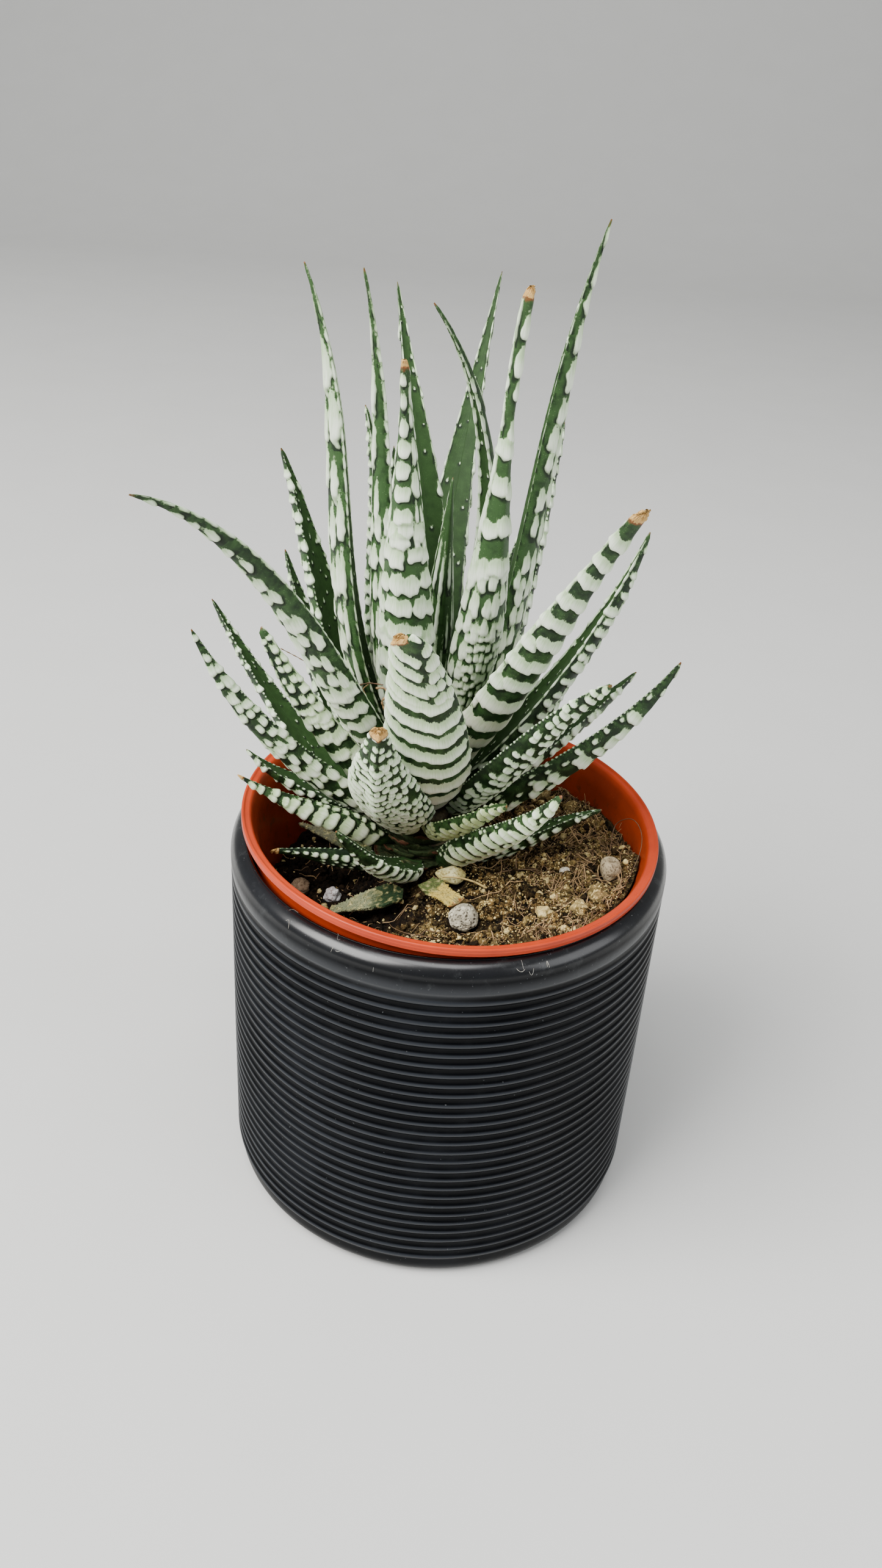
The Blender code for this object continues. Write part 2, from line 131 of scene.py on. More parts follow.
def piece(name, points, faces, finish, slot, stands_for=(), **marks):
    """An object from points in millimetres; it moves with the part's one body."""
    points = np.asarray(points, float) * MM
    made = new_object(name, points, faces, finish)
    if is_inside_out(made.data, points):
        made.data.flip_normals()
    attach(made, "root")
    if stands_for:
        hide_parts(*stands_for)
    for title, values in marks.items():
        mark(made.data, title, values)
    fine_pieces[name] = made
    return made


def mark(mesh, title, values):
    """Writes one number, or three, at each vertex; a single number goes to them all."""
    count = len(mesh.vertices)
    values = np.ravel(values).astype(np.float32)
    values = np.repeat(values, count) if len(values) == 1 else values
    kind, key = ("FLOAT", "value") if len(values) == count else ("FLOAT_VECTOR", "vector")
    mesh.attributes.new(title, kind, "POINT").data.foreach_set(key, values)


# %% [markdown]
# A leaf or a stem is a grid whose rows close into rings. The two ends are closed with one face
# each, so that the mesh is a solid body with no open edge.

# %% Grids
def ring_faces(rows, count):
    """Faces of a closed tube of rings, with both ends filled."""
    faces = []
    for low in range(0, (rows - 1) * count, count):
        for i in range(count):
            j = (i + 1) % count
            faces.append((low + i, low + j, low + count + j, low + count + i))
    faces.append(tuple(range(count - 1, -1, -1)))
    faces.append(tuple((rows - 1) * count + i for i in range(count)))
    return faces


def ring_piece(name, grid, *how, **marks):
    """A piece from a grid of points (rows, columns, 3)."""
    return piece(name, grid.reshape(-1, 3), ring_faces(*grid.shape[:2]), *how, **marks)


def circle(radius, turns, height=0.0):
    """Points round the Z axis; the radius and the height are one number or one for each turn."""
    return np.stack([radius * np.cos(turns), radius * np.sin(turns), height + 0 * turns], 1)


def full_turn(steps):
    return np.arange(steps) / steps * math.tau


print("a tube of 3 rings of 8 points has", len(ring_faces(3, 8)), "faces")

# %% [markdown]
# ## Tools: a finish
# A finish is a node tree. `add` adds one node, sets its sockets by name or number, and joins a
# socket when it is given another node's output instead of a value. Outputs are wrapped so that a
# sum or a product of them can be written as one and becomes a Math node. One finish is made at
# a time, so the helpers add to the one that was begun last.

# %% Make a finish
class Wire:
    """A node's output."""

    def __init__(self, socket):
        self.socket = socket

    def __add__(self, other):
        return maths("ADD", self, other)

    def __sub__(self, other):
        return maths("SUBTRACT", self, other)

    def __mul__(self, other):
        return maths("MULTIPLY", self, other)


def begin(name):
    """A new material; its tree and its shader are what the helpers work on."""
    global tree, shader
    made = bpy.data.materials.new(name)
    made.use_nodes = True
    tree = made.node_tree
    shader = tree.nodes["Principled BSDF"]
    return made


def put(socket, value):
    if isinstance(value, Wire):
        tree.links.new(value.socket, socket)
    else:
        socket.default_value = (*value, 1) if socket.type == "RGBA" and len(value) == 3 else value


def add(kind, out=0, settings=None, **sockets):
    """Adds a node and gives back one of its outputs. i3=... means the socket with number 3."""
    made = tree.nodes.new("ShaderNode" + kind)
    for key, value in (settings or {}).items():
        setattr(made, key, value)
    for key, value in sockets.items():
        put(made.inputs[int(key[1:]) if key[1:].isdigit() else key], value)
    return Wire(made.outputs[out])


def maths(how, first, second=0.0):
    return add("Math", settings={"operation": how}, i0=first, i1=second)


def blend(share, first, second):
    return add("Mix", 2, {"data_type": "RGBA"}, i0=share, i6=first, i7=second)


def between(value, low, high, to_low=0.0, to_high=1.0):
    """A soft step: to_low at low, to_high at high."""
    return add("MapRange", 0, {"interpolation_type": "SMOOTHSTEP"}, i0=value, i1=low, i2=high,
               i3=to_low, i4=to_high)


def spread(value, to_low, to_high):
    """The middle range of a noise, stretched evenly from one number to another."""
    return add("MapRange", i0=value, i1=0.3, i2=0.7, i3=to_low, i4=to_high)


def attribute(name, out=2):
    return add("Attribute", out, {"attribute_name": name})


def object_place():
    return add("TexCoord", 3)


def grain(place, scale, detail=3.0, rough=0.55):
    return add("TexNoise", Vector=place, Scale=scale, Detail=detail, Roughness=rough)


def stretched(place, by):
    return add("VectorMath", settings={"operation": "MULTIPLY"}, i0=place, i1=by)


def surface(colour, rough, relief, depth, strength, specular=0.5):
    """Joins the finish's colour, its roughness and a bump, its depth in metres."""
    put(shader.inputs["Base Color"], colour)
    put(shader.inputs["Roughness"], rough)
    put(shader.inputs["Normal"], add("Bump", Height=relief, Distance=depth, Strength=strength))
    shader.inputs["Specular IOR Level"].default_value = specular


# %% [markdown]
# ## The leaf's finish
# The real leaf has a waxy dark green skin. Its warts are greenish white, chalky and almost
# matt, sharp at their lower edge and feathered into the green at the upper one. Where a leaf
# has died back, its end is straw coloured with a red-brown rim. Painting this on would need an
# image, so every vertex carries a few numbers instead: how deep it lies inside a wart, how near
# it is to the wart's upper edge, its place on the skin, and how dry it is. The nodes turn these
# into colour with noise, so that the edges stay crisp however near one looks.

# %% Leaf finish
DARK_GREEN, MID_GREEN, PALE_GREEN = (0.006, 0.019, 0.005), (0.034, 0.084, 0.022), (0.13, 0.22, 0.085)
INNER_GREEN, EDGE_SHADE = (0.021, 0.058, 0.010), (0.002, 0.007, 0.002)
WART_WHITE, WART_GREEN, WART_YELLOW = (0.80, 0.87, 0.72), (0.44, 0.61, 0.34), (0.42, 0.53, 0.24)
# the rim colour is painted shade round the edge of each wart
WART_CREAM, WART_RIM_SHADE = (0.62, 0.50, 0.40), (0.13, 0.19, 0.09)
STRAW, PALE_STRAW, RED_BROWN = (0.50, 0.29, 0.085), (0.66, 0.42, 0.15), (0.20, 0.062, 0.018)


def leaf_finish():
    made = begin("banded leaf skin")
    place = attribute("skin", 1)
    inside, upper, inner, pale = (attribute(name) for name in ("wart", "upper", "inner", "pale"))
    # green skin: broad clouds, then fine dots; the inner face is deeper and more matt
    clouds = grain(place, 0.55, 4)
    green = blend(between(clouds + attribute("tone"), 0.35, 0.75), DARK_GREEN, MID_GREEN)
    dots = add("TexVoronoi", Vector=place, Scale=2.6, Randomness=0.9)
    dot_share = between(dots, 0.24, 0.1) * between(clouds, 0.35, 0.7, 0.1, 0.6)
    green = blend(dot_share, green, PALE_GREEN)
    green = blend(inner * 0.65, green, INNER_GREEN)
    # painted shadow: a dark line under each wart's lower edge, where the wart overhangs the skin
    under = between(inside, -0.45, -0.02) * between(upper, 0.6, 0.2)
    green = blend(under * 0.9, green, EDGE_SHADE)
    # ragged edge: long noise, stronger towards the upper edge
    rag = grain(stretched(place, (3.4, 0.9, 1.0)), 1.1, 3, 0.65) - 0.5
    mottle = grain(place, 2.6, 3, 0.6) - 0.52
    edge = inside + (rag + mottle * 0.6) * between(upper, 0.4, 1.0, 0.07, 1.0)
    white_share = between(edge, -0.03, between(upper, 0.3, 1.0, 0.05, 0.16))
    # chalk: more green towards the upper edge, cream near the leaf's base; painted shade at each wart's
    # rim makes it more green and then darker there, so it is paler in the middle
    lines = grain(stretched(place, (5.0, 0.35, 1.0)), 1.0, 2)
    green_tint_and_rim_shade = between(upper, 0.2, 0.9) * 0.85 + between(lines, 0.42, 0.72, 0.0, 0.42)
    # painted shade: more green towards each wart's rim
    green_tint_and_rim_shade = green_tint_and_rim_shade + between(inside, 0.22, 0.0, 0.0, 0.4) + pale * between(clouds, 0.35, 0.65, 0.25, 0.9)
    chalk = blend(maths("MINIMUM", green_tint_and_rim_shade, 1.0), WART_WHITE, blend(pale, WART_GREEN, WART_YELLOW))
    chalk = blend(attribute("warm") * between(clouds, 0.3, 0.6, 0.4, 0.8), chalk, WART_CREAM)
    # painted shade: a dark greenish rim round each wart
    chalk = blend(between(inside, 0.15, 0.0, 0.0, 0.6), chalk, WART_RIM_SHADE)
    skin = blend(white_share, green, chalk)
    # dried end: straw with a red-brown rim
    crumple = grain(place, 1.6, 4, 0.7)
    died = attribute("dry") + crumple * 0.35
    straw = blend(between(crumple, 0.35, 0.7), STRAW, PALE_STRAW)
    straw = blend(between(maths("ABSOLUTE", died - 0.6), 0.1, 0.03), straw, RED_BROWN)
    rough = between(white_share, 0.0, 1.0, 0.46, 0.6) + inner * 0.22
    relief = grain(place, 3.2, 2, 0.6) * 0.5 + lines * 0.6
    surface(blend(between(died, 0.5, 0.66), skin, straw), rough, relief, 0.00007, 0.7, 0.28)
    return made


banded_skin = leaf_finish()
print("leaf finish:", len(tree.nodes), "nodes")

# %% [markdown]
# ## The leaves' values
# Every leaf of the solid part is a loft along a curved line. The same table makes the fine
# leaves here, so that each one lies exactly where its solid lies. One leaf a line: its
# direction seen from above (0 right, 90 away, -90 towards the viewer), how far it turns on its
# way, the height of its base, its slope at base, middle and tip, its length, width and
# thickness, the width of its tip (more than 0.8 where it has dried off), its fullness towards
# the tip, and last how far its outer part is rolled about its own line.

# %% Leaf table
LEAVES = {
    "leaf_tall_right": (0, 0, 85, 73, 84, 74, 84.5, 7.8, 3.6, 0.8, 1.2, 0),
    "leaf_tall_left": (182, 1, 84, 60, 86, 68, 78, 7.6, 3.6, 0.8, 1.3, 0),
    "leaf_back_wide": (92, -26, 84.5, 60, 60, 68, 78, 7.8, 3.2, 0.8, 1.1, 0),
    "leaf_back_left": (112, 8, 88.5, 113, 71, 68, 69, 8, 3.2, 0.8, 1.1, 0),
    "leaf_left_slim": (206, 0, 89.5, 78, 88, 75, 71.5, 6, 2.6, 0.8, 1.3, 0),
    "leaf_curved": (51, -10, 86.6, 71, 96, 132, 73, 5, 2.4, 0.8, 1.2, 0),
    "leaf_right_upright": (-54, 0, 89, 63, 87, 77, 73.5, 8.4, 4, 1.8, 1.8, 0),
    "leaf_front_upright": (-110, 1, 86.5, 64, 85, 77, 66, 9.2, 4.4, 1.4, 1, 0),
    "leaf_centre": (-77, 0, 92, 87, 84, 81, 40, 5, 3, 0.8, 1, 0),
    "leaf_back_small": (143, 5, 84, 58, 87, 70, 55, 7, 3.2, 0.8, 1, 0),
    "leaf_left_arched": (-137, 2, 81, 48, 58, 19, 75, 9, 4, 0.8, 1.2, 0),
    "leaf_left_green": (155, -1, 79, 40, 70, 66, 56, 9, 3.8, 0.8, 1, 0),
    "leaf_left_small": (146, 2, 73.5, 32, 55, 71, 46, 7, 3.2, 0.8, 1, 0),
    "leaf_right_broad": (-45, -2, 83, 57, 60, 55, 63.5, 9.2, 4.4, 3.2, 0.8, 0),
    "leaf_right_under": (3, -2, 77, 51, 60, 75, 54, 7, 3.6, 0.8, 1, 0),
    "leaf_front_broad": (-87, -22, 77, 50, 61, 56, 49, 13.6, 5.4, 3, 0.42, 0),
    "leaf_front_keeled": (-116.5, 34.5, 72, 46, 52, 71, 36.8, 13.5, 4.8, 2.6, 0.75, 0),
    "leaf_left_1": (-162, 0, 74.5, 50, 56, 65, 40, 9, 4.2, 0.8, 0.8, -15),
    "leaf_left_2": (150, 8, 63, 23, 44, 57, 54.5, 7, 3.4, 0.8, 1, 0),
    "leaf_left_3": (-161.5, 7.3, 70.9, 32.2, 48.7, 67, 51.5, 6.4, 3.6, 0.8, 1, -30),
    "leaf_left_4": (178, 5, 68.3, 23, 21, 49, 28.5, 6, 3, 0.8, 1, 0),
    "leaf_left_5": (-153.3, -8.5, 66.6, 34.9, 30.1, 41.5, 32.1, 4.7, 3.6, 0.9, 1, -60),
    "leaf_left_6": (-161, 1, 62, 4, 17, 7, 22, 6, 3, 1.2, 1, -45),
    "leaf_right_1": (-42, -3, 74.8, 42, 54, 40, 46.5, 8.4, 4, 0.8, 0.8, 0),
    "leaf_right_2": (24, -1, 72, 28, 31, 45, 39, 7.5, 3.6, 0.8, 1, 0),
    "leaf_right_3": (-12.3, 0.2, 71, 40, 45, 65, 49.5, 8, 4, 0.8, 1, 20),
    "leaf_right_4": (-52.5, -2, 65.2, 48, 42, 58, 40.5, 7.3, 3.6, 0.8, 0.8, 20),
    "leaf_right_5": (-16, 7, 64.6, 12, 35, 27, 28.5, 6, 3, 0.8, 1, 0),
    "leaf_front_low_left": (-106, -48, 64, 13, 42, 50, 25.5, 7.6, 3, 0.8, 1, 0),
    "leaf_front_low_right": (-69, 28, 71, 30, 42, 33, 25, 7.6, 3.2, 0.8, 0.7, 0),
    "leaf_rear_1": (55, 0, 77.5, 51, 65, 76, 62, 9.5, 4, 0.8, 1, 0),
    "leaf_rear_2": (108, 0, 76, 47, 62, 74, 56.5, 9, 4, 0.8, 1, 0),
    "leaf_rear_3": (78, 0, 70, 32, 50, 66, 46, 9, 4, 0.8, 1, 0),
    "leaf_rear_4": (138, 0, 68.5, 24, 42, 62, 40, 8, 3.8, 0.8, 1, 0),
    "leaf_rear_5": (45, 0, 66, 18, 36, 55, 36, 7.5, 3.6, 0.8, 1, 0),
    "leaf_rear_6": (105, 0, 64.5, 10, 27, 46, 28, 7, 3.4, 0.8, 1, 0),
}
CENTRE_LEAF_START, LEAF_START = 1.0, 5.6     # how far from the stem's line a leaf begins
STEM_X, STEM_Y, STEM_AT = -4.5, 2.0, 60.0
STEM_LEAN = np.array([-0.02, 0.22, 1.0])
TWIST_OVER = 0.35
ALONG = (0.0, 0.10, 0.24, 0.45, 0.65, 0.85, 1.0)
WIDTH_SHARE = (0.46, 0.76, 1.0, 0.84, 0.55, 0.24, 0.05)
THICK_SHARE = (0.80, 0.95, 1.0, 0.88, 0.70, 0.45, 0.22)
print("leaves:", len(LEAVES), "longest:", max(leaf[6] for leaf in LEAVES.values()), "mm")

# %% [markdown]
# ## The form of a leaf
# A leaf follows a line that starts level at the stem and bends up. Its section is flat and a
# little hollow on the inner face and round on the outer one, with a low keel towards the tip.
# The skin is a grid: rows a quarter of a millimetre apart from base to tip, and columns at
# even steps round the section. Each column knows how far it is from the keel line: `across`
# is 0 on the keel, 1 at a margin, and more than 1 on the inner face.

# %% Leaf form
def stem_axis(height):
    return np.array([STEM_X, STEM_Y, STEM_AT]) + STEM_LEAN * (height - STEM_AT)


def hermite(x, stations, values, slope):
    """The curve through the stations that has the given slope at each."""
    k = np.clip(np.searchsorted(stations, x, side="right") - 1, 0, len(stations) - 2)
    gap = stations[k + 1] - stations[k]
    t = (x - stations[k]) / gap
    return ((1 + 2 * t) * (1 - t) ** 2 * values[k] + t * (1 - t) ** 2 * gap * slope[k]
            + t * t * (3 - 2 * t) * values[k + 1] + t * t * (t - 1) * gap * slope[k + 1])


def smooth_curve(x, stations, values):
    """A curve through the stations that never overshoots them."""
    stations, values = np.asarray(stations, float), np.asarray(values, float)
    rises = np.diff(values) / np.diff(stations)
    slope = np.zeros(len(values))
    slope[0], slope[-1] = rises[0], rises[-1]
    same = rises[1:] * rises[:-1] > 0
    slope[1:-1][same] = 2 * rises[1:][same] * rises[:-1][same] / (rises[1:] + rises[:-1])[same]
    return hermite(x, stations, values, slope)


def step_up(x, low, high):
    t = np.clip((x - low) / (high - low), 0, 1)
    return t * t * (3 - 2 * t)


def leaf_path(azimuth, drift, base, rises, length, start, steps=400):
    """The leaf's centre line: shares of the length, points, and unit steps."""
    share = np.linspace(0, 1, steps + 1)
    spread_out = np.clip(share * length / 2.6, 0, 1)
    lift = np.radians(rises[0] * (1 - share) * (1 - 2 * share) + rises[1] * 4 * share * (1 - share)
                      + rises[2] * share * (2 * share - 1)) * spread_out**2 * (3 - 2 * spread_out)
    turn = np.radians(azimuth + drift * share)
    step = np.stack([np.cos(lift) * np.cos(turn), np.cos(lift) * np.sin(turn), np.sin(lift)], 1)
    walk = (step[1:] + step[:-1]) / 2 * length / steps
    points = np.vstack([np.zeros(3), np.cumsum(walk, 0)])
    outward = np.array([math.cos(turn[0]), math.sin(turn[0]), 0])
    return share, points + stem_axis(base) + start * outward, step


def section_outline(width, thickness, fine):
    """Round the leaf from the middle of the inner face: share of half the width, share of the
    thickness, and the distance from the keel line in millimetres."""
    turn = np.linspace(math.pi, 2 * math.pi, 400)
    inner = np.linspace(0, 1, 100)
    a = np.concatenate([-inner, np.cos(turn)[1:-1], inner[::-1]])
    d = np.concatenate([-0.15 * (1 - inner**2), np.sin(turn)[1:-1], -0.15 * (1 - inner[::-1] ** 2)])
    steps = np.hypot(np.diff(a * width / 2), np.diff(d * thickness))
    walked = np.concatenate([[0], np.cumsum(steps)])
    at = np.linspace(0, walked[-1], int(walked[-1] / fine) // 2 * 2 + 1)
    middle, margin = walked[-1] / 2, walked[len(inner) - 1]
    return np.interp(at, walked, a), np.interp(at, walked, d), at - middle, middle - margin


def leaf_skin(leaf, start, fine, keel=0.0, keel_at=0.0):
    """The bare leaf: points (rows, columns, 3), row places along it, across, half its outer arc."""
    azimuth, drift, base, *rises, length, width, thickness, tip, fullness, roll = leaf
    walked, line, step = leaf_path(azimuth, drift, base, rises, length, start)
    at = np.linspace(0, 1, int(length / fine) + 1)
    centre = np.stack([np.interp(at, walked, column) for column in line.T], 1)
    along = np.stack([np.interp(at, walked, column) for column in step.T], 1)
    along /= np.linalg.norm(along, axis=1)[:, None]
    turn = np.radians(azimuth + drift * at)
    side = np.stack([np.sin(turn), -np.cos(turn), 0 * turn], 1)
    side -= (side * along).sum(1)[:, None] * along
    side /= np.linalg.norm(side, axis=1)[:, None]
    up = np.cross(side, along)
    twist = np.radians(roll * np.clip(at / TWIST_OVER, 0, 1))[:, None]
    side, up = side * np.cos(twist) + up * np.sin(twist), up * np.cos(twist) - side * np.sin(twist)
    share = smooth_curve(at, ALONG, WIDTH_SHARE)
    half = width / 2 * np.where(at > 0.24, share**fullness, share)
    if tip > 1:
        half = np.maximum(half, tip / 2) * np.sqrt(np.clip((1.004 - at) / 0.03, 0.02, 1))
    else:
        half = np.maximum(half, 0.16) * np.clip((1.003 - at) / 0.02, 0.1, 1)
    thick = np.minimum(thickness * smooth_curve(at, ALONG, THICK_SHARE), 1.6 * half + 0.15)
    if tip > 1:
        thick = np.minimum(thick, 0.9 * half + 0.3)
    a, d, across, arc = section_outline(width, thickness, fine)
    ridge = 1 + keel * step_up(at, 0.2, 0.6)[:, None] * np.exp(-((across / arc - keel_at) / 0.22) ** 2)[None]
    skin = (centre[:, None] + side[:, None] * (a[None, :, None] * half[:, None, None])
            + up[:, None] * ((d[None] * np.where(d < -0.2, ridge, 1) + 0.35) * thick[:, None])[..., None])
    return skin[:, :-1], at * length, across[:-1] / arc, arc * half / (width / 2)


def skin_places(along, across, half_arc, shift):
    """Each vertex's place on the flattened skin. The shift gives every leaf its own noise."""
    place = np.empty((len(along), len(across), 3))
    place[..., 0] = across[None] * half_arc[:, None]
    place[..., 1] = along[:, None]
    place[..., 2] = shift
    return place


print("grid of the tall right leaf:", leaf_skin(LEAVES["leaf_tall_right"], LEAF_START, 0.23)[0].shape)

# %% [markdown]
# ## The coat of warts
# The white bands are rows of warts that run together. On the real leaf each wart is a low
# cushion with a steep lower edge that stands over the green skin, and it sinks back into the
# leaf towards the tip. Where warts stand close they merge into a plate or a roll with a
# scalloped lower edge; where they stand apart they read as beads. So one rule can draw every
# leaf. A leaf wears patches, and a patch is a part of its skin, from base 0 to tip 1 and across
# from -1 to 1, with rows of cushions in it. Each has its own place and size from a seeded draw.

# %% A patch of warts
@dataclass
class Patch:
    low: float               # where the patch begins and ends along the leaf
    high: float
    pitch: float             # from row to row
    wide: float              # from wart to wart in a row; 0 is one wart all the way across
    fill: float = 0.7        # length and width of a wart, as shares of its room
    fuse: float = 1.1
    left: float = -1
    right: float = 1
    height: float = 0.34
    uneven: float = 0.12     # how much places and sizes stray
    skip: float = 0          # how many are missing
    stagger: float = 0.5     # shift of every other row
    bow: float = 0           # how far a row dips at the keel
    point: float = 0         # how much a wart narrows towards the tip


def kind_of_patch(low, high, pitch, wide, **kind):
    """A maker of patches with its own usual values."""
    def make(low=low, high=high, pitch=pitch, wide=wide, **more):
        return Patch(low, high, pitch, wide, **{**kind, **more})
    return make


# fused from margin to margin; broad and scalloped; long and pointed above; crowded; separate ovals
rolls = kind_of_patch(0.03, 0.97, 4.6, 0, fill=0.66, fuse=1, height=0.55, uneven=0.05)
plates = kind_of_patch(0.03, 0.97, 4.8, 2.4, fill=0.66, fuse=1.35, uneven=0.1, stagger=0)
drops = kind_of_patch(0.03, 0.97, 6, 1.7, fill=0.92, fuse=1, point=0.5, height=0.27, uneven=0.16)
cells = kind_of_patch(0.03, 0.4, 1.5, 1.2, fill=0.9, fuse=0.9, height=0.28, uneven=0.12)
beads = kind_of_patch(0.03, 0.97, 2.4, 1.6, fill=0.72, fuse=0.92, uneven=0.16, skip=0.08)
print("beads as they come:", beads())

# %% [markdown]
# ## Which leaf wears what
# Young leaves in the middle stand upright and carry long drops and plates; older ones near the
# soil carry beads and crescents. Many leaves keep a bare dark strip along one margin, where they
# were folded against a neighbour. `seam` is the width of the white edging; `dots` means that the
# edging is a row of separate small warts. `tone` makes the green paler, `warm` turns the warts
# cream near the base, and `pale` turns them yellowish.

